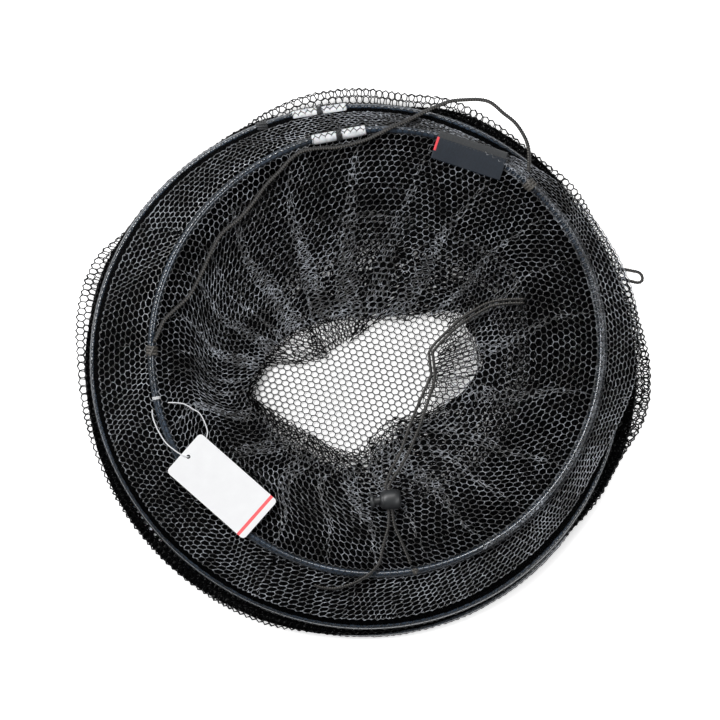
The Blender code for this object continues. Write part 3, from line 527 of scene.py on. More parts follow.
def wander(turn, seed, orders=(2, 3, 5, 8, 13, 21)):
    """A smooth waver round the net, mostly between -1 and 1, different for each seed."""
    dice = np.random.default_rng(seed)
    total = np.zeros_like(turn)
    for order in orders:
        total = total + dice.uniform(0.5, 1) * np.sin(order * turn + dice.uniform(0, 2 * np.pi)) / order**0.5
    return total / 1.6


def pleated(turn, ratio, count, seed):
    """Turns of a net with ratio times too much length round, its excess laid in pleats.

    Between pleats the net keeps its own width. Each place has a layer too, from 0 on a pleat's upper sheet
    to 1 on its lower one, and whether another sheet covers it.
    """
    dice = np.random.default_rng(seed)
    edges = np.concatenate([[0], np.cumsum(dice.uniform(0.35, 1.6, count))])
    edges *= 2 * np.pi / edges[-1]
    lap = np.floor(turn / (2 * np.pi))
    inside = turn - 2 * np.pi * lap
    k = np.clip(np.searchsorted(edges, inside, side="right") - 1, 0, count - 1)
    width = edges[k + 1] - edges[k]
    t = (inside - edges[k]) / width
    ahead = (1 + 1 / ratio) / 4
    back = 1 - ahead
    place = np.where(t < ahead, t, np.where(t > back, t - 2 * (back - ahead), 2 * ahead - t)) * ratio
    layer = np.where(t < ahead, 0.5 - 0.5 * t / ahead, np.where(t > back, 0.5 + 0.5 * (1 - t) / ahead, 0))
    middle = (t - ahead) / np.maximum(back - ahead, 1e-6)
    layer = np.where((t >= ahead) & (t <= back), middle, layer)
    layer = np.where(k % 2, 1 - layer, layer)
    on_top = np.where(k % 2, t > back, t < ahead)
    covered = (place > (2 * ahead - back) * ratio) & (place < ahead * ratio) & ~on_top
    return edges[k] + width * place + 2 * np.pi * lap, layer, covered


def unevenness(points, seed, amount):
    """Small steady displacements, so that no two cells of a net are quite alike."""
    return points + np.random.default_rng(seed).normal(0, 1, points.shape) * np.array(amount)


# Materials

def linear(hex_colour):
    """An sRGB hex colour as linear red, green, blue and alpha."""
    shares = [int(hex_colour[i:i + 2], 16) / 255 for i in (1, 3, 5)]
    return (*(s / 12.92 if s <= 0.04045 else ((s + 0.055) / 1.055) ** 2.4 for s in shares), 1.0)


def add_node(material, kind, settings=(), *in_order, **named):
    """A shader node with its settings; inputs in order or by name get a value or another node's output."""
    made = material.node_tree.nodes.new("ShaderNode" + kind)
    for name, value in dict(settings).items():
        setattr(made, name, value)
    given = [(made.inputs[place], value) for place, value in enumerate(in_order)]
    given += [(made.inputs[name.replace("_", " ")], value) for name, value in named.items()]
    for socket, value in given:
        if isinstance(value, bpy.types.NodeSocket):
            material.node_tree.links.new(value, socket)
        else:
            socket.default_value = value
    return made


def new_material(name):
    """An empty material, and the places on the part that its patterns are laid out in."""
    material = bpy.data.materials.new(name)
    material.use_nodes = True
    material.node_tree.nodes.clear()
    return material, add_node(material, "TexCoord").outputs["Object"]


def shaded_colour(material, pattern, first, last, dark, light):
    """A colour that goes from dark to light while a pattern goes from its first value to its last."""
    share = add_node(material, "MapRange", Value=pattern, From_Min=first, From_Max=last).outputs["Result"]
    return add_node(material, "MixRGB", Fac=share, Color1=linear(dark), Color2=linear(light)).outputs["Color"]


def surface_grain(material, pattern, smoothest, roughest, strength, depth):
    """The roughness and the relief that one pattern gives a surface."""
    rough = add_node(material, "MapRange", Value=pattern, To_Min=smoothest, To_Max=roughest)
    relief = add_node(material, "Bump", Strength=strength, Distance=depth, Height=pattern)
    return {"Roughness": rough.outputs["Result"], "Normal": relief.outputs["Normal"]}


def close_material(material, **inputs):
    """The Principled surface that ends a material."""
    surface = add_node(material, "BsdfPrincipled", **inputs)
    add_node(material, "OutputMaterial", Surface=surface.outputs["BSDF"])
    return material


def heat_set_mesh(name, dark, light, specular):
    """Knotless polyester mesh, knitted and heat-set: black filaments, with glints and brighter patches
    painted into the colour from dark to light.
    """
    material, places = new_material(name)
    # Painted light: patches some 26 mm across where the threads are painted brighter.
    painted_light_patches = add_node(material, "TexNoise", Vector=places, Scale=1 / (26 * MM), Detail=5.0, Roughness=0.6)
    # Single filaments are too fine to show, so they are drawn at 0.5 mm.
    filament = add_node(material, "TexNoise", Vector=places, Scale=1 / (0.5 * MM), Detail=2.0)
    # Painted glints along the threads, about 1.8 mm apart.
    glint = add_node(material, "TexNoise", Vector=places, Scale=1 / (1.8 * MM), Detail=1.0)
    painted_light = add_node(material, "MixRGB", Fac=0.55, Color1=painted_light_patches.outputs["Fac"], Color2=glint.outputs["Fac"])
    colour = shaded_colour(material, painted_light.outputs["Color"], 0.47, 0.67, dark, light)
    grain = surface_grain(material, filament.outputs["Fac"], 0.24, 0.5, 0.35, 0.15 * MM)
    return close_material(material, Base_Color=colour, IOR=1.75, Specular_IOR_Level=specular, **grain)


def extruded_pvc():
    """Extruded PVC tube, satin: a clean highlight along it, dulled where the net has scuffed it."""
    material, places = new_material("extruded_pvc_blue_grey")
    cloud = add_node(material, "TexNoise", Vector=places, Scale=1 / (33 * MM), Detail=5.0)
    colour = shaded_colour(material, cloud.outputs["Fac"], 0.35, 0.7, "#1b2631", "#2d3c4d")
    scuff = add_node(material, "TexNoise", Vector=places, Scale=1 / (2.4 * MM), Detail=4.0, Roughness=0.7)
    grain = surface_grain(material, scuff.outputs["Fac"], 0.18, 0.36, 0.08, 0.2 * MM)
    return close_material(material, Base_Color=colour, IOR=1.6, Specular_IOR_Level=1.0, Coat_Weight=0.5,
                          Coat_Roughness=0.2, **grain)


def moulded_polypropylene():
    """Injection-moulded white polypropylene: waxy, with grey handling marks."""
    material, places = new_material("moulded_polypropylene_white")
    marks = add_node(material, "TexNoise", Vector=places, Scale=1 / (6 * MM), Detail=5.0, Roughness=0.65)
    colour = shaded_colour(material, marks.outputs["Fac"], 0.3, 0.55, "#b9bdc2", "#ebecee")
    grain = add_node(material, "TexNoise", Vector=places, Scale=1 / (1.1 * MM))
    relief = add_node(material, "Bump", Strength=0.15, Distance=0.2 * MM, Height=grain.outputs["Fac"])
    return close_material(material, Base_Color=colour, Roughness=0.42, IOR=1.49, Subsurface_Weight=0.1,
                          Subsurface_Scale=1.5 * MM, Normal=relief.outputs["Normal"])


def spun_polyester(name, dark, light, roughness):
    """Polyester spun and then braided or laid: soft gloss along each strand, broken by its fibres; over a
    random fibre tone, its colour is painted darker in the grooves as shade and lighter on the crowns as
    highlight.
    """
    material, places = new_material(name)
    # Fibres are too fine to show, so they are drawn at 0.3 mm.
    fibre = add_node(material, "TexNoise", Vector=places, Scale=1 / (0.3 * MM), Detail=2.0)
    tone = add_node(material, "TexNoise", Vector=places, Scale=1 / (11 * MM), Detail=3.0)
    both = add_node(material, "MixRGB", Fac=0.4, Color1=fibre.outputs["Fac"], Color2=tone.outputs["Fac"])
    crown = add_node(material, "Attribute", {"attribute_name": "crown"})
    # Painted shade and highlight: the fibre tone times the crown, so the colour darkens into the grooves and
    # brightens on the crowns.
    tone_and_painted_crown_shade = add_node(material, "MixRGB", {"blend_type": "MULTIPLY"}, Fac=1.0, Color1=both.outputs["Color"],
                    Color2=crown.outputs["Fac"])
    colour = shaded_colour(material, tone_and_painted_crown_shade.outputs["Color"], 0.16, 0.42, dark, light)
    grain = surface_grain(material, fibre.outputs["Fac"], roughness - 0.12, roughness + 0.15, 0.5, 0.12 * MM)
    return close_material(material, Base_Color=colour, IOR=1.6, **grain)


def drawn_spring_steel():
    """Spring steel wire, drawn through a die: bright, with fine marks."""
    material, places = new_material("drawn_spring_steel")
    marks = add_node(material, "TexNoise", Vector=places, Scale=1 / (1.2 * MM), Detail=4.0)
    grain = surface_grain(material, marks.outputs["Fac"], 0.22, 0.45, 0.15, 0.05 * MM)
    return close_material(material, Base_Color=linear("#b3b4b6"), Metallic=1.0, **grain)


def moulded_acetal():
    """Injection-moulded black acetal: a low gloss with the fine grain of a spark-eroded mould."""
    material, places = new_material("moulded_acetal_charcoal")
    wear = add_node(material, "TexNoise", Vector=places, Scale=1 / (7 * MM), Detail=3.0)
    colour = shaded_colour(material, wear.outputs["Fac"], 0.35, 0.75, "#1d1f21", "#2e3134")
    spark = add_node(material, "TexNoise", Vector=places, Scale=1 / (0.5 * MM), Detail=3.0, Roughness=0.6)
    grain = surface_grain(material, spark.outputs["Fac"], 0.4, 0.56, 0.2, 0.08 * MM)
    return close_material(material, Base_Color=colour, IOR=1.48, Specular_IOR_Level=1.0, **grain)


def woven_satin(name, dark, light, turn):
    """Woven satin tape: floats that run along it catch the light in fine lines, which are painted into its
    colour as lighter lines and mottle.
    """
    material, places = new_material(name)
    lie = add_node(material, "Mapping", Vector=places, Rotation=(0, 0, -turn))
    # The weave's own 0.15 mm threads are too fine to show, so they are drawn at 0.7 mm.
    weave = add_node(material, "TexWave", {"bands_direction": "Y"}, Vector=lie.outputs["Vector"],
                     Scale=0.31 / (0.7 * MM), Distortion=1.2, Detail=2.0)
    floats = add_node(material, "TexNoise", Vector=places, Scale=1 / (2.2 * MM), Detail=5.0, Roughness=0.75)
    both = add_node(material, "MixRGB", Fac=0.6, Color1=weave.outputs["Color"],
                    Color2=floats.outputs["Color"])
    colour = shaded_colour(material, both.outputs["Color"], 0.4, 0.6, dark, light)
    relief = add_node(material, "Bump", Strength=0.3, Distance=0.12 * MM, Height=both.outputs["Color"])
    return close_material(material, Base_Color=colour, Roughness=0.55, IOR=1.5,
                          Normal=relief.outputs["Normal"])


def coated_card(centre, turn):
    """Coated white card, printed in one red: a smooth even white with a plain stripe near one end."""
    material, places = new_material("coated_card_white")
    level = Matrix.Rotation(-turn, 3, "Z")
    lie = add_node(material, "Mapping", Vector=places, Rotation=(0, 0, -turn),
                   Location=-(level @ Vector(centre)))
    along = add_node(material, "SeparateXYZ", Vector=lie.outputs["Vector"]).outputs["X"]
    first, last = TAG_STRIPE
    off = add_node(material, "Math", {"operation": "SUBTRACT"}, along, (first + last) / 2)
    distance = add_node(material, "Math", {"operation": "ABSOLUTE"}, off.outputs["Value"])
    inked = add_node(material, "MapRange", Value=distance.outputs["Value"], From_Min=(last - first) / 2,
                     From_Max=(last - first) / 2 + 0.08 * MM, To_Min=1.0, To_Max=0.0)
    pulp = add_node(material, "TexNoise", Vector=places, Scale=1 / (9 * MM), Detail=6.0, Roughness=0.6)
    paper = add_node(material, "MixRGB", Fac=pulp.outputs["Fac"], Color1=linear("#ececee"),
                     Color2=linear("#f8f9fa"))
    colour = add_node(material, "MixRGB", Fac=inked.outputs["Result"], Color1=paper.outputs["Color"],
                      Color2=linear("#fb6b6f"))
    grain = add_node(material, "TexNoise", Vector=places, Scale=1 / (0.6 * MM))
    relief = add_node(material, "Bump", Strength=0.06, Distance=0.1 * MM, Height=grain.outputs["Fac"])
    return close_material(material, Base_Color=colour.outputs["Color"], Roughness=0.38, IOR=1.5,
                          Normal=relief.outputs["Normal"])


def paper_floor():
    """White studio paper with a painted glow for camera and glossy rays outside the hoops, in the window and
    far off; under the net's stack it keeps the net's shadow.
    """
    material, places = new_material("studio_paper")
    diffuse = add_node(material, "BsdfDiffuse", Color=linear("#f2f2f2"))
    # Painted light: the paper glows outside the hoops, fully far off, and in the window; under the net's
    # stack it has no glow.
    painted_glow = 0.0
    for centre, near, far, lift in PAPER_GLOW:
        away = add_node(material, "VectorMath", {"operation": "DISTANCE"}, places, (*centre, 0))
        painted_light = add_node(material, "MapRange", Value=away.outputs["Value"], From_Min=near, From_Max=far,
                       To_Max=lift)
        both = add_node(material, "Math", {"operation": "MAXIMUM"}, painted_glow, painted_light.outputs["Result"])
        painted_glow = both.outputs["Value"]
    ray = add_node(material, "LightPath")
    seen = ray.outputs["Is Camera Ray"]
    for kind in ("Is Glossy Ray", "Is Transmission Ray"):
        seen = add_node(material, "Math", {"operation": "MAXIMUM"}, seen, ray.outputs[kind]).outputs["Value"]
    clear = add_node(material, "Math", {"operation": "MULTIPLY"}, seen, painted_glow)
    glow = add_node(material, "Emission", Strength=clear.outputs["Value"])
    total = add_node(material, "AddShader", {}, diffuse.outputs["BSDF"], glow.outputs["Emission"])
    add_node(material, "OutputMaterial", Surface=total.outputs["Shader"])
    return material


# Three copies of one net: the first has glints and brighter patches painted into its colour, the second keeps
# the near-black thread colour with faint painted glints, and the third is painted nearly black as shade, for
# net in folds.
mesh_painted_glints = heat_set_mesh("heat_set_mesh", "#08090b", "#ccd2dc", 1.0)
mesh_flat = heat_set_mesh("heat_set_mesh_flat", "#060708", "#131416", 0.3)
mesh_painted_shade = heat_set_mesh("heat_set_mesh_painted_shade", "#040405", "#0a0b0c", 0.02)
tube_plastic = extruded_pvc()
sleeve_plastic = moulded_polypropylene()
braid = spun_polyester("braided_polyester_black", "#030303", "#6e6a64", 0.5)
laid_twine = spun_polyester("laid_polyester_twine", "#070708", "#3a3c3f", 0.5)
tag_twine = spun_polyester("laid_polyester_white", "#cfd1d4", "#eeeff1", 0.6)
steel = drawn_spring_steel()
acetal = moulded_acetal()


# Stage

def add_camera():
    data = bpy.data.cameras.new("camera")
    data.sensor_width = 36
    data.lens = data.sensor_width * CAMERA_HEIGHT / FRAME_WIDTH
    data.clip_end = 20
    camera = bpy.data.objects.new("camera", data)
    camera.location = (*CAMERA_CENTRE, CAMERA_HEIGHT)
    bpy.context.scene.collection.objects.link(camera)
    bpy.context.scene.camera = camera


def add_light(name, place, long, wide, power):
    """A strip softbox that faces the net, its long side level."""
    data = bpy.data.lights.new(name, "AREA")
    data.shape = "RECTANGLE"
    data.size = long
    data.size_y = wide
    data.energy = power
    light = bpy.data.objects.new(name, data)
    light.location = place
    light.rotation_euler = (-Vector(place)).to_track_quat("-Z", "Y").to_euler()
    bpy.context.scene.collection.objects.link(light)


def add_stage():
    """White paper under the net, three softboxes and a dim white surround."""
    corners = ((-1, -1), (1, -1), (1, 1), (-1, 1))
    points = np.array([(x * FLOOR_HALF, y * FLOOR_HALF, -FLOOR_DROP) for x, y in corners])
    add_mesh("floor", points, np.array([[0, 1, 2, 3]]), paper_floor(), smooth=False)
    for softbox in SOFTBOXES:
        add_light(*softbox)
    world = bpy.data.worlds.new("surround")
    world.use_nodes = True
    world.node_tree.nodes["Background"].inputs["Color"].default_value = (1, 1, 1, 1)
    world.node_tree.nodes["Background"].inputs["Strength"].default_value = SURROUND
    bpy.context.scene.world = world
    bpy.context.scene.view_settings.view_transform = "Standard"


# Hoops and their bindings

def joint_line(hoop):
    """The middle of the joint, its direction and its outward side: the hoop runs straight in its sleeve."""
    half = joint_half_turn(hoop)
    first, last = at_height(hoop_curve(hoop, np.array((-half, half)) + hoop.joint_at), hoop.height)
    along = (last - first) / np.linalg.norm(last - first)
    return (first + last) / 2, along, np.cross(along, UP)


def joint_half_turn(hoop):
    """Half the bearing that the straight joint takes up, in degrees."""
    return math.degrees((SLEEVE_LENGTH / 2 + JOINT_SPARE) / (hoop.outer / 2))


def hoop_line(hoop, steps=540):
    """The hoop's centre line from one side of its joint round to the other."""
    middle, along, _ = joint_line(hoop)
    half = joint_half_turn(hoop)
    bearings = hoop.joint_at + half + np.linspace(0, 360 - 2 * half, steps)
    line = at_height(hoop_curve(hoop, bearings), hoop.height)
    return np.vstack([middle + along * TUBE_BUTT / 2, line, middle - along * TUBE_BUTT / 2])


def placed(piece, nodes, body):
    """Puts a finished piece in the place of CAD nodes, on their body."""
    if nodes:
        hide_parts(*nodes)
    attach(piece, body)
    return piece


def circle(along, turn):
    """Directions square to a line, by their angles round it."""
    side = np.cross(along, UP)
    side /= np.linalg.norm(side)
    return side * np.cos(turn)[:, None] + np.cross(side, along) * np.sin(turn)[:, None]


def turned(profile, middle, along, sides=40):
    """A surface turned about a line from (along, radius) pairs that go once round its section."""
    ring = circle(along, 2 * np.pi * np.arange(sides) / sides)
    profile = np.array(profile)
    points = middle + along * profile[:, :1, None] + ring[None] * profile[:, 1:, None]
    return points.reshape(-1, 3), grid_faces(len(profile), sides, wrap_rows=True)


def add_hoop_tube(hoop):
    """The smooth tube, open at both ends of its joint."""
    line = hoop_line(hoop)
    outside, _ = tube(line, TUBE / 2, 20)
    inside, _ = tube(line, TUBE_BORE / 2, 20)
    inside = inside.reshape(len(line), 20, 3)[::-1].reshape(-1, 3)
    faces = grid_faces(2 * len(line), 20, wrap_rows=True)
    piece = add_mesh(f"{hoop.name}_tube", np.vstack([outside, inside]), faces, tube_plastic)
    placed(piece, [f"{hoop.name}_hoop_tube"], hoop.name)


def add_sleeve(hoop):
    """The white joint sleeve: a short tube with rolled lips and a slight waist where it is bound."""
    middle, along, _ = joint_line(hoop)
    half, outer, bore = SLEEVE_LENGTH / 2, SLEEVE / 2, SLEEVE_BORE / 2
    places = np.linspace(-1, 1, 41)
    waist = 0.12 * MM * np.exp(-((places * half / (3 * MM)) ** 2))
    lip = 0.35 * MM * np.clip((np.abs(places) - 0.97) / 0.03, 0, 1) ** 2
    outside = [(place * half, outer - w - l) for place, w, l in zip(places, waist, lip)]
    inside = [(place * half, bore) for place in (1, 0.5, 0, -0.5, -1)]
    piece = add_mesh(f"{hoop.name}_sleeve", *turned(outside + inside, middle, along), sleeve_plastic)
    placed(piece, [f"{hoop.name}_hoop_sleeve"], hoop.name)


def coil(middle, along, radius, pitch, turns, steps=28, start=0.0):
    """A helix round a line."""
    t = np.linspace(0, 1, round(turns * steps) + 1)
    rise = (t - 0.5) * pitch * turns
    return middle + along * rise[:, None] + radius * circle(along, start + 2 * np.pi * turns * t)


def add_binding(hoop):
    """Black twine bound round the sleeve, with its knot on top."""
    middle, along, outward = joint_line(hoop)
    radius = SLEEVE / 2 + BINDING_TWINE / 2 + 0.05 * MM
    wound = coil(middle, along, radius, BINDING_PITCH, BINDING_TURNS, start=1.2)
    parts = [twisted(wound, BINDING_TWINE)]
    top = middle + UP * (radius + 0.25 * MM)
    for side in (-1, 1):
        end = top + along * side * 1.0 * MM
        loop = [
            top - outward * side * 1.3 * MM,
            top - along * side * 0.7 * MM + UP * 0.3 * MM,
            end + outward * side * 0.4 * MM + UP * 0.15 * MM,
            end + outward * side * 2.1 * MM - UP * 0.5 * MM,
        ]
        parts.append(twisted(along_route(loop, 0.2 * MM), BINDING_TWINE))
    piece = add_strands(f"{hoop.name}_binding", *joined(parts), laid_twine)
    placed(piece, [f"{hoop.name}_sleeve_tie"], hoop.name)


def add_hoop_net(hoop, seed, lift=TIGHT_LIFT, spread=180, painted_light_copy=mesh_flat):
    """The net's own cells drawn tight round the hoop's tube, or loose above it for a spread to both sides."""
    around, length, pairs = hex_net(round(math.pi * hoop.outer / MESH), 4)
    bearings = hoop.joint_at + 360 * around + LIFT_SHIFT * lift / MM
    on_sleeve = np.abs(bearing_from(bearings, hoop.joint_at)) < joint_half_turn(hoop)
    radius = np.where(on_sleeve, SLEEVE / 2, TUBE / 2) + THREAD / 2 + lift
    about = 2 * np.pi * length - np.pi / 2
    out = hoop_curve(hoop, bearings, radius * np.cos(about))
    points = at_height(out, hoop.height + radius * np.sin(about))
    points = unevenness(points, 60 + seed, HOOP_JITTER)
    pairs = pairs[np.abs(bearing_from(bearings[pairs[:, 0]], LOOSE_AT)) <= spread]
    net = threads(points, pairs, THREAD)
    placed(add_mesh(f"{hoop.name}_hoop_net_{seed}", *net, painted_light_copy), [], hoop.name)


# Nets

def add_base_net():
    """The single flat net inside the base hoop, its hexagons drawn along rows that run down to the right."""
    reach = int(BASE.outer / PANEL_MESH * 0.62)
    count = 2 * reach
    around, length, pairs = hex_net(count, count)
    x = (around * count - reach) * PANEL_MESH * PANEL_STRETCH
    y = (length * count - reach) * PANEL_MESH * math.sqrt(3) / 2
    keep = np.abs(x[pairs[:, 0]] - x[pairs[:, 1]]) < 2 * PANEL_MESH
    x, y = x + 1.6 * MM * np.sin(y / (31 * MM)), y + 1.8 * MM * np.sin(x / (43 * MM) + 1)
    plan = np.stack([
        BASE.centre[0] + x * math.cos(PANEL_TURN) - y * math.sin(PANEL_TURN),
        BASE.centre[1] + x * math.sin(PANEL_TURN) + y * math.cos(PANEL_TURN),
    ], 1)
    offset = plan - np.array(BASE.centre)
    bearing = np.degrees(np.arctan2(offset[:, 1], offset[:, 0]))
    edge = np.linalg.norm(hoop_curve(BASE, bearing, -TUBE / 2) - np.array(BASE.centre), axis=1)
    inside = np.linalg.norm(offset, axis=1) < edge
    swell = 0.35 * MM * np.sin(plan[:, 0] / (17 * MM)) * np.sin(plan[:, 1] / (23 * MM))
    points = at_height(plan, across("base_net_panel")[2] / 2 + swell)
    pairs = pairs[keep & inside[pairs].all(1)]
    piece = add_mesh("base_mesh", *threads(points, pairs, PANEL_THREAD), mesh_flat)
    placed(piece, ["base_net_panel"], "base")


def climb(share):
    """The height in a folded stack, so that the drawn-out net is even: the inverse of a smooth step."""
    return 0.5 - np.sin(np.arcsin(1 - 2 * np.clip(share, 0, 1)) / 3)


def stack_height(share, start, low, high, end):
    """Up from one hoop into the stack, through it and on to the next hoop."""
    lead = 0.02
    inside = low + (high - low) * climb((share - lead) / (1 - 2 * lead))
    first = start + (low - start) * share / lead
    last = high + (end - high) * (share - 1 + lead) / lead
    return np.where(share < lead, first, np.where(share > 1 - lead, last, inside))


def folded(turn, length, curves, folds):
    """Plan places of a net that runs to and fro between curves, given by bearing, one after the other."""
    at = length * folds
    fold = np.minimum(at.astype(int), folds - 1)
    share = (at - fold)[:, None]
    places = np.array([curves(turn, k) for k in range(folds + 1)])
    which = np.arange(len(turn))
    return places[fold, which] * (1 - share) + places[fold + 1, which] * share


def lower_curves(turn, fold):
    """The lower net's folds: at a hoop at both ends, else out past the middle hoop or in under the collar."""
    bearing = np.degrees(turn)
    if fold == 0:
        return hoop_curve(BASE, bearing)
    if fold == LOWER_FOLDS:
        return hoop_curve(MIDDLE, bearing)
    if fold % 2 == 0:
        return collar_plan(bearing, LOWER_SHARE + 0.05 * np.abs(wander(turn, 30 + fold)))
    if fold == LOWER_VEIL_FOLD:
        return hoop_curve(MIDDLE, bearing, smooth_around(VEIL_EDGE, bearing))
    loose = 1.2 * MM * wander(turn, 50 + fold, (3, 7, 12, 19))
    edge = smooth_around(FOLDS_EDGE, bearing)
    if fold == SECOND_VEIL_FOLD:
        more = np.maximum(smooth_around(VEIL_EDGE, bearing) - edge, 0)
        edge = edge + SECOND_VEIL_SHARE * bump(bearing, SECOND_VEIL_AT, SECOND_VEIL_WIDTH) * more
    return hoop_curve(MIDDLE, bearing, edge - np.abs(loose) - 0.15 * MM * fold)


def upper_curves(turn, fold):
    """The upper net's folds, out to the middle hoop and in under the mouth hoop."""
    bearing = np.degrees(turn)
    if fold == 0:
        return hoop_curve(MIDDLE, bearing)
    if fold == UPPER_FOLDS:
        return hoop_curve(MOUTH, bearing)
    if fold % 2 == 0:
        return hoop_curve(MOUTH, bearing, -UPPER_REACH + 3 * MM * wander(turn, 130 + fold))
    edge = smooth_around(UPPER_EDGE, bearing)
    if fold == UPPER_VEIL_FOLD:
        return hoop_curve(MIDDLE, bearing, edge - np.abs(0.4 * MM * wander(turn, 150 + fold, (3, 7, 12, 19))))
    loose = np.abs(1.6 * MM * wander(turn, 150 + fold, (3, 7, 12, 19)))
    return hoop_curve(MIDDLE, bearing, np.minimum(edge, 0.4 * edge) - loose)


def add_section(part, below, above, curves, folds, rows, seed, upper, painted_light_copy, thickness):
    """A long section of net folded between two hoops, which its slide draws out.

    upper are the passes that show, with their own copy of the net's material and thickness of thread; the
    other passes, and net covered by a pleat, get the copy painted nearly black as shade.
    """
    low, high = (corner[2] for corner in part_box(f"{part}_net"))
    around, length, pairs = hex_net(round(math.pi * MIDDLE.outer / MESH), rows)
    turn = 2 * np.pi * around
    reach = np.linalg.norm(folded(turn, length, curves, folds) - np.array(MIDDLE.centre), axis=1)
    sway = SECTION_SWAY * np.sin(2 * np.pi * length) * wander(turn, seed + 1, (1, 2, 3))
    turn = turn + sway + SECTION_LEAN * length
    turn = turn + SECTION_STRAY * wander(turn + 3 * length, seed + 5, (9, 14, 23))
    excess = np.maximum(MIDDLE.outer / 2 / reach, 1.001)
    turn, layer, covered = pleated(turn, excess, SECTION_PLEATS, seed)
    height = stack_height(length, below.height, low, high, above.height) + SECTION_LAYER * (0.5 - layer)
    points = unevenness(at_height(folded(turn, length, curves, folds), height), seed + 2, SECTION_JITTER)
    passed = np.floor(length * folds)[pairs].max(1)
    # Painted shade: passes that don't show, and net covered by a pleat, get the nearly black copy.
    shaded = ~np.isin(passed, upper) | covered[pairs].all(1)
    net = threads(points, pairs, np.where(shaded, COVERED_THREAD, thickness), (high - low) / (rows * ROW))
    piece = add_mesh(f"{part}_section", *net, painted_light_copy, shaded=np.repeat(shaded, 3))
    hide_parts(f"{part}_net")
    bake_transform(piece)


def collar_plan(bearing, share):
    """A point of the collar in plan, from the window's edge at 0 to the mouth hoop at 1."""
    turn = np.radians(bearing)
    reach = smooth_around(WINDOW_EDGE, bearing)
    near = np.stack([WINDOW_CENTRE[0] + reach * np.cos(turn), WINDOW_CENTRE[1] + reach * np.sin(turn)], -1)
    share = np.broadcast_to(share, bearing.shape)[:, None]
    return near * (1 - share) + hoop_curve(MOUTH, bearing) * share


def collar_height(share, turn, layer, under):
    """The collar's height: down from the hoop to the base net in waves, and lower where it is under."""
    inside = np.clip(share, 0, 1)
    low = across("base_net_panel")[2] + GAP + 2.4 * MM
    high = MOUTH.height + 1.3 * MM
    top = low + (high - low) * inside**2 * (3 - 2 * inside)
    depth = np.interp(under, (0, 0.04, 1), (0.4, 1.3, 2.6)) * MM - 0.4 * MM * inside * (under == 0)
    wave = wander(turn, 12, (5, 9, 14, 23)) * np.sin(2.2 * np.pi * share + wander(turn, 13, (2, 4, 7)))
    rise = MM * np.sin(np.pi * np.clip(share + 0.25, 0, 1)) * (1 + 1.3 * wave) - COLLAR_LAYER * layer
    height = top - depth - 0.2 * MM + rise
    return np.where(share > 0.97, height + (MOUTH.height - height) * (share - 0.97) / 0.03, height)


def add_collar():
    """The collar's net: in from the mouth hoop to the window, then to and fro under itself to its hem."""
    around, length, pairs = hex_net(round(math.pi * MOUTH.outer / MESH), COLLAR_ROWS)
    turn = 2 * np.pi * around
    bearing = np.degrees(turn)
    stops = np.concatenate([[0], np.cumsum(np.abs(np.diff(COLLAR_SHARES)))])
    ground = np.linalg.norm(collar_plan(bearing, 1) - collar_plan(bearing, 0), axis=1)

    # Of its length, a share lies on top and the rest goes on under it.
    shown = ground / (COLLAR_ROWS * ROW)
    under = np.clip((length - shown) / (1 - shown), 0, 1)
    fit = np.clip((1 / shown - 1) / stops[-1], 0.85, 1.15)
    stops = stops / stops[-1]
    share = np.where(under > 0, np.interp(under, stops, COLLAR_SHARES) * fit, 1 - length / shown)
    turn = turn + (1 - share) * COLLAR_SWAY * wander(turn + 3 * length, 7, (1, 2, 3, 5))
    for stop in stops[:3]:
        turn = turn + FOLD_TWIST * np.clip((under - stop) / 0.12, 0, 1)

    # What is too wide for the place is laid in pleats.
    bearing = np.degrees(turn)
    fold = np.exp(-(((under - stops[2]) / (0.7 * (stops[2] - stops[1]))) ** 2))
    near = share - smooth_around(LIP_EDGE, bearing) * fold / ground
    arc = np.linalg.norm(collar_plan(bearing + 0.5, near) - collar_plan(bearing - 0.5, near), axis=1)
    excess = np.maximum(MOUTH.outer / 2 * math.radians(1) / arc, 1.001)
    turn, layer, covered = pleated(turn, excess, COLLAR_PLEATS, 9)
    stray = COLLAR_STRAY * wander(turn + 3 * share, 15, (1, 2, 3))
    turn = turn + stray * np.sin(np.pi * np.clip(share, 0, 1))
    bearing = np.degrees(turn)
    sparse = SPARSE_SHARE * bump(bearing, SPARSE_AT, SPARSE_WIDTH)
    share = share + (1 - share) * sparse * (under > 0) * np.clip(1 - share / SPARSE_REACH, 0, 1)
    share = share - smooth_around(LIP_EDGE, bearing) * fold / ground
    sag = COLLAR_SAG * wander(turn + 2 * length, 11, (3, 5, 8, 13)) * np.sin(np.pi * np.clip(share, 0, 1))
    plan = collar_plan(bearing, np.minimum(share + sag, 1))
    points = at_height(plan, collar_height(share, turn, layer, under))
    points = unevenness(points, 14, COLLAR_JITTER)

    # Near the window only a few sheets are kept, out to a ragged edge.
    at = under[pairs].max(1)
    ragged = np.random.default_rng(17).uniform(*RAGGED, len(pairs))
    inward = (share * ground)[pairs].mean(1) / smooth_around(THIN_EDGE, bearing)[pairs[:, 0]]
    thin = inward < ragged
    keep = ~thin | (~covered[pairs].all(1) & (at < stops[2] + 0.1))
    pairs, at, inward, thin = (part[keep] for part in (pairs, at, inward, thin))
    thickness = np.select((thin, at > stops[3], at > 0.15), (RIM_THREAD, HEM_THREAD, TURNED_THREAD), THREAD)
    # Painted shade: net turned under, and net within half the thin edge's width of the window, get the nearly
    # black copy; the rest gets the copy with painted glints.
    shaded = (at > 0.01) | (inward < 0.5)
    net = threads(points, pairs, thickness)
    piece = add_mesh("collar_mesh", *net, mesh_painted_glints, shaded=np.repeat(shaded, 3))
    placed(piece, ["collar_net"], "mouth")


# Cords

def in_metres(route):
    return np.array(route) * MM


def joint(name):
    return next(found for found in frame["joints"] if found["name"] == name)


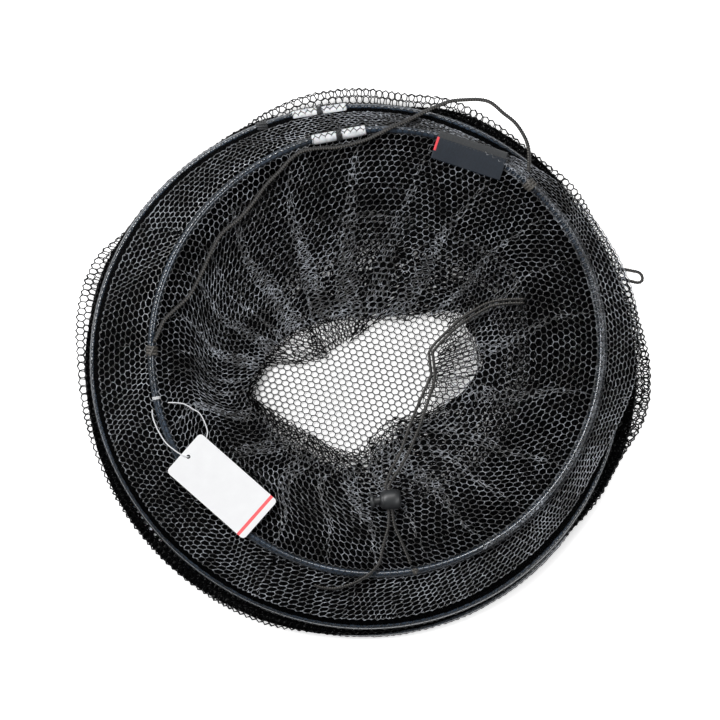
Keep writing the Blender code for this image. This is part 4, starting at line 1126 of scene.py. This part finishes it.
def lock_direction():
    """The plunger's direction of travel, which is the lock's own axis."""
    along = np.array(joint("plunger_press")["axis"], float)
    return along / np.linalg.norm(along)


def strand_points(strand, run, tail, side):
    """A drawcord strand: over the collar, straight through the ends of the lock's slide, and its tail."""
    along = lock_direction()
    out = np.cross(UP, along) * MM
    slide = joint("lock_slide")
    travel = np.array(slide["axis"]) * slide["range_m"][1]
    hole = middle_of("lock_barrel") + along * (LOCK_HOLE + side * (DRAWCORD + GAP) / 2)
    slid = [hole + travel + out * reach for reach in (6.8, 5.4, 0, -5.6, -7.5)]
    inside = [hole + out * reach for reach in (10, 5, -5, -10)]
    return np.vstack([in_metres(strand), slid, in_metres(run), inside, in_metres(tail)])


def add_braid(name, route, diameter, nodes, body, **facts):
    points = along_route(route, 0.15 * MM)
    piece = placed(add_strands(name, *braided(points, diameter), braid), nodes, body)
    return piece


def add_end_knot():
    """The overhand knot that stops the right strand."""
    middle = middle_of("drawcord_end_knot")
    t = np.linspace(0, 2 * np.pi, 90, endpoint=False)
    size = 0.8 * MM
    knot = np.stack([np.sin(t) + 2 * np.sin(2 * t), np.cos(t) - 2 * np.cos(2 * t), -1.1 * np.sin(3 * t)], 1)
    points = middle + size * 0.62 * knot
    turn = np.arange(14)[None] / 14
    strands = np.sin(2 * np.pi * (5 * turn + np.arange(90)[:, None] / 6))
    shape = tube(points, 0.93 * MM * (1 + 0.06 * strands), 14, closed=True)
    piece = add_strands("end_knot_cord", *shape, (0.5 + 0.5 * strands).ravel(), braid)
    return placed(piece, ["drawcord_end_knot"], "mouth")


def add_hem_braid():
    """The drawcord inside the collar's hem, between the two places where its strands leave it."""
    bearings = np.linspace(*HEM_ENDS, 180)
    points = at_height(collar_plan(bearings, HEM_SHARE), middle_of("hem_cord")[2])
    piece = add_strands("hem_braid", *braided(along_route(points, 0.4 * MM), DRAWCORD, sides=12), braid)
    placed(piece, ["hem_cord"], "mouth")


def add_cords():
    """Every cord with its length, as it lies."""
    add_braid("carry_cord_braid", in_metres(CARRY_ROUTE), CARRY_CORD, ["carry_cord"], "mouth",
              far_end="object")
    add_braid("hang_loop_braid", in_metres(HANG_LOOP_ROUTE), LOOP_CORD, ["hang_loop"], "middle",
              far_end="object")
    route = strand_points(LEFT_STRAND, LEFT_RUN, LEFT_TAIL, -1)
    add_braid("left_strand_braid", route, DRAWCORD, ["drawcord_left"], "mouth", far_end="bare")
    knot = add_end_knot()
    route = strand_points(RIGHT_STRAND, RIGHT_RUN, RIGHT_TAIL, 1)
    add_braid("right_strand_braid", route, DRAWCORD, ["drawcord_right"], "mouth", far_end="knot",
              with_pieces=[knot])
    add_hem_braid()


# Small pieces

def add_knot(node, material, cord, turns, hoop, crossings=1):
    """Turns of cord round a hoop, with a strand pulled across them."""
    middle = middle_of(node)
    bearing = math.atan2(middle[1] - hoop.centre[1], middle[0] - hoop.centre[0])
    along = np.array((-math.sin(bearing), math.cos(bearing), 0))
    outward = np.array((math.cos(bearing), math.sin(bearing), 0))
    radius = TUBE / 2 + 0.2 * MM + cord / 2
    parts = [twisted(coil(middle, along, radius, cord * 1.08, turns), cord)]
    for k in range(crossings):
        lift = radius + 0.62 * cord
        lean = 0.5 * (k - (crossings - 1) / 2)
        half = turns * cord * 0.62
        route = [
            middle + along * half * s + outward * math.sin(lean + s * 0.35) * lift * 0.9
            + UP * math.cos(lean + s * 0.35) * (lift - 0.35 * cord * abs(s))
            for s in (-1, -0.5, 0, 0.5, 1)
        ]
        parts.append(twisted(along_route(route, 0.3 * MM), cord * 0.85))
    piece = add_strands(f"{node}_turns", *joined(parts), material)
    placed(piece, [node], hoop.name)


def add_tag_thread(hitch):
    """The tag's thread, from its hitch through the card's hole and back."""
    points = along_route(hitch + in_metres(THREAD_ROUTE), 0.25 * MM)
    piece = add_strands("tag_thread_laid", *twisted(points, TAG_THREAD, plies=2, sides=12), tag_twine)
    placed(piece, ["tag_thread"], "tag")


def add_tag_card(centre):
    """The swing tag: thin card with rounded corners, a hole for its thread and ends that curl a little."""
    count, rings = 144, 26
    hole = np.array((TAG_HOLE_INSET - TAG_LENGTH / 2, 0.0))
    turn = 2 * np.pi * np.arange(count) / count
    corner = np.array((TAG_LENGTH / 2 - TAG_CORNER, TAG_WIDTH / 2 - TAG_CORNER))
    rim = np.concatenate([
        side * corner + TAG_CORNER * np.stack([np.cos(a), np.sin(a)], 1)
        for side, a in (((x, y), np.radians(start + np.linspace(0, 90, count // 4)))
                        for x, y, start in ((1, 1, 0), (-1, 1, 90), (-1, -1, 180), (1, -1, 270)))
    ])
    run = distances(np.vstack([rim, rim[:1]]))
    even = np.linspace(0, run[-1], count, endpoint=False)
    rim = np.stack([np.interp(even, run, np.append(rim[:, k], rim[0, k])) for k in (0, 1)], 1)
    start = int(np.argmin(np.abs(np.arctan2(*(rim - hole).T[::-1]))))
    rim = np.roll(rim, -start, 0)
    edge = hole + TAG_HOLE / 2 * np.stack([np.cos(turn), np.sin(turn)], 1)
    share = np.linspace(0, 1, rings)[:, None, None] ** 1.5
    flat = edge * (1 - share) + rim * share
    curl = TAG_CURL * (flat[..., 0] / (TAG_LENGTH / 2)) ** 2
    curl = curl - 0.3 * MM * flat[..., 1] ** 2 / (TAG_WIDTH / 2) ** 2
    upper = np.concatenate([flat, curl[..., None] + TAG_CARD / 2], -1)
    lower = np.concatenate([flat, curl[..., None] - TAG_CARD / 2], -1)[::-1]
    level = np.array(Matrix.Rotation(TAG_TURN, 3, "Z"))
    points = np.concatenate([upper, lower]).reshape(-1, 3) @ level.T + centre
    faces = grid_faces(2 * rings, count, wrap_rows=True)[:, ::-1]
    piece = add_mesh("tag_card_printed", points, faces, coated_card(centre, TAG_TURN))
    piece.data.set_sharp_from_angle(angle=math.radians(40))
    placed(piece, ["tag_card"], "tag")


def along_label():
    """The label's middle on the hoop, its direction and its outward side."""
    along = np.array((math.cos(LABEL_TURN), math.sin(LABEL_TURN), 0))
    return at_height(hoop_curve(MOUTH, LABEL_BEARING), MOUTH.height), along, np.cross(UP, along)


def cloth(name, section, length, thickness, materials, pick=None):
    """A strip of cloth: a section of (out, up) points on a line, run to both sides of the label's middle."""
    middle, along, outward = along_label()
    run = np.linspace(-length / 2, length / 2, 61)
    route = np.array(section)
    ripple = 0.22 * MM * np.sin(run / (7.5 * MM)) + 0.12 * MM * np.sin(run / (3.1 * MM) + 1)
    free = np.clip(-route[:, 0] / LABEL_DROP, 0, 1)[:, None] ** 2
    up = route[:, 1:] + free * ripple
    points = middle + along * run[None, :, None] + outward * route[:, :1, None] + UP * up[..., None]
    faces = grid_faces(len(route), len(run), wrap_columns=False)
    piece = add_mesh(name, points.reshape(-1, 3), faces, materials[0])
    for extra in materials[1:]:
        piece.data.materials.append(extra)
    if pick is not None:
        centres = points.reshape(-1, 3)[faces].mean(1) - middle
        chosen = pick(centres @ along, centres @ outward)
        piece.data.polygons.foreach_set("material_index", chosen.astype(np.int32))
    thick = piece.modifiers.new("thickness", "SOLIDIFY")
    thick.thickness = thickness
    thick.offset = 0
    return piece


def add_label():
    """The woven label: its backing goes round the hoop, and its face hangs inwards from there."""
    middle, along, outward = along_label()
    front = TUBE / 2 + GAP + LABEL_CLOTH / 2
    bend = np.radians(np.linspace(90, -90, 13))
    backing = [
        (-LABEL_DROP + 1.2 * MM, front - 0.9 * MM), (-9 * MM, front - 0.45 * MM),
        (-4 * MM, front - 0.12 * MM), (0, front), (2 * MM, front),
        *((LABEL_FOLD + front * 0.35 * math.cos(a), front * math.sin(a)) for a in bend),
        (1 * MM, -front), (-LABEL_TUCK, -front),
    ]
    smooth = along_route([(x, y, 0) for x, y in backing], 0.7 * MM)[:, :2]
    tape = woven_satin("woven_tape_charcoal", "#1c1e20", "#424446", LABEL_TURN)
    piece = cloth("label_backing", smooth, LABEL_LENGTH - 0.6 * MM, 0.3 * MM, [tape])
    placed(piece, ["label"], "mouth")
    face = [
        (-LABEL_DROP, front - 0.62 * MM), (-9 * MM, front - 0.05 * MM), (-4 * MM, front + 0.3 * MM),
        (-0.3 * MM, front + 0.34 * MM),
    ]
    smooth = along_route([(x, y, 0) for x, y in face], 0.5 * MM)[:, :2]
    satin = woven_satin("woven_satin_navy", "#080c12", "#222d3a", LABEL_TURN)
    edge = woven_satin("woven_satin_red", "#d8323c", "#f2525a", LABEL_TURN)

    def red_edge(run, out):
        return (run < LABEL_EDGE - LABEL_LENGTH / 2) & (out > -LABEL_DROP * 0.62)

    piece = cloth("label_face", smooth, LABEL_LENGTH, 0.3 * MM, [satin, edge], red_edge)
    placed(piece, [], "mouth")
    stitches = []
    for start in np.arange(-LABEL_LENGTH / 2 + 1.5 * MM, LABEL_LENGTH / 2 - 2 * MM, STITCH_PITCH):
        base = middle - outward * 1.1 * MM + UP * (front + 0.48 * MM)
        ends = [
            base + along * (start + step * MM) + UP * lift * MM
            for step, lift in ((0, -0.2), (0.5, 0.05), (1.1, 0.05), (1.7, -0.2))
        ]
        stitches.append(twisted(along_route(ends, 0.2 * MM), 0.32 * MM, plies=2, sides=8))
    placed(add_strands("label_stitches", *joined(stitches), laid_twine), [], "mouth")


def less(piece, cutter):
    """A piece with its cutter taken out, as one plain mesh."""
    cut = piece.modifiers.new("cut", "BOOLEAN")
    cut.operation = "DIFFERENCE"
    cut.object = cutter
    view = bpy.context.evaluated_depsgraph_get()
    piece.data = bpy.data.meshes.new_from_object(piece.evaluated_get(view))
    piece.modifiers.clear()
    bpy.data.objects.remove(cutter)
    piece.data.set_sharp_from_angle(angle=math.radians(32))
    return piece


def cord_slot(first, last, half, reach):
    """A cutter through the lock for the two strands, rounded above and below them."""
    along = lock_direction()
    across_lock = np.cross(UP, along)
    made = bmesh.new()
    turns = np.radians(np.concatenate([np.linspace(-90, 90, 12), np.linspace(90, 270, 12)]))
    shift = np.where(np.arange(24) < 12, last - half, first + half)
    middle = middle_of("lock_barrel")
    outline = [
        middle + along * (s + half * math.cos(a)) + UP * half * math.sin(a) for s, a in zip(shift, turns)
    ]
    ends = [[made.verts.new(point + across_lock * side * reach) for point in outline] for side in (-1, 1)]
    for k in range(len(outline)):
        made.faces.new((ends[0][k - 1], ends[0][k], ends[1][k], ends[1][k - 1]))
    for ring in ends:
        made.faces.new(ring)
    bmesh.ops.recalc_face_normals(made, faces=made.faces)
    data = bpy.data.meshes.new("slot")
    made.to_mesh(data)
    cutter = bpy.data.objects.new("slot", data)
    bpy.context.scene.collection.objects.link(cutter)
    return cutter


def add_lock_piece(name, node, body, profile, slot):
    """A moulded piece of the lock: a smooth solid turned about its axis, with a slot for the strands."""
    rounded = along_route([(x * MM, y * MM, 0) for x, y in profile], 0.16 * MM)[:, :2]
    rounded[:, 1] = np.maximum(rounded[:, 1], 0.02 * MM)
    solid = add_mesh(name, *turned(rounded, middle_of("lock_barrel"), lock_direction(), 72), acetal)
    placed(less(solid, slot), [node], body)


def add_lock():
    """The cord lock's barrel and plunger; the plunger's slot leaves it room to be pressed."""
    half = DRAWCORD / 2 + GAP
    first, last = LOCK_HOLE - DRAWCORD - 1.5 * GAP, LOCK_HOLE + DRAWCORD + 1.5 * GAP
    slot = cord_slot(first, last, half, 9 * MM)
    add_lock_piece("lock_barrel_moulded", "lock_barrel", "lock", BARREL_PROFILE, slot)
    slot = cord_slot(first - PLUNGER_TRAVEL, last, half, 4 * MM)
    add_lock_piece("lock_plunger_moulded", "lock_plunger", "plunger", PLUNGER_PROFILE, slot)


def add_spring():
    """The lock's spring, which the plunger presses together."""
    middle, along = middle_of("lock_barrel"), lock_direction()
    first, last = SPRING_ENDS
    pitch = (last - first) / SPRING_TURNS
    wire = coil(middle + along * (first + last) / 2, along, SPRING_RADIUS, pitch, SPRING_TURNS)
    spring = add_mesh("lock_spring_coil", *tube(wire, round_ends(wire, SPRING_WIRE / 2)[:, None], 10), steel)
    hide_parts("lock_spring")
    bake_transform(spring)


for seed, hoop in enumerate((BASE, MIDDLE, MOUTH)):
    add_hoop_tube(hoop)
    add_sleeve(hoop)
    add_binding(hoop)
    add_hoop_net(hoop, seed)
# The loose nets get the copy with painted glints.
for seed, lift in LOOSE_LIFTS.items():
    add_hoop_net(MOUTH, seed, lift, LOOSE_SPREAD, mesh_painted_glints)

add_camera()
add_stage()
add_cords()
add_base_net()
# The lower section's shown passes get the near-black copy and the upper's shown pass gets the copy with
# painted glints; their other passes get painted shade.
add_section("lower", BASE, MIDDLE, lower_curves, LOWER_FOLDS, LOWER_ROWS, 20, (4, 5), mesh_flat, LOWER_THREAD)
add_section("upper", MIDDLE, MOUTH, upper_curves, UPPER_FOLDS, UPPER_ROWS, 40, (11,), mesh_painted_glints, THREAD)
add_collar()
add_knot("carry_knot_left", braid, 1.9 * MM, 3, MOUTH)
add_knot("carry_knot_right", braid, 1.9 * MM, 3, MOUTH)
add_knot("seam_knot", laid_twine, 1.5 * MM, 4, MIDDLE, crossings=3)
add_knot("tag_hitch", tag_twine, 0.6 * MM, 3, MOUTH)
add_tag_thread(np.array(joint("tag_flip")["pos_m"]))
add_tag_card(middle_of("tag_card"))
add_label()
add_lock()
add_spring()
for name in ("base_hoop_wire", "middle_hoop_wire", "mouth_hoop_wire"):
    frame["nodes"][name].data.materials.clear()
    frame["nodes"][name].data.materials.append(steel)
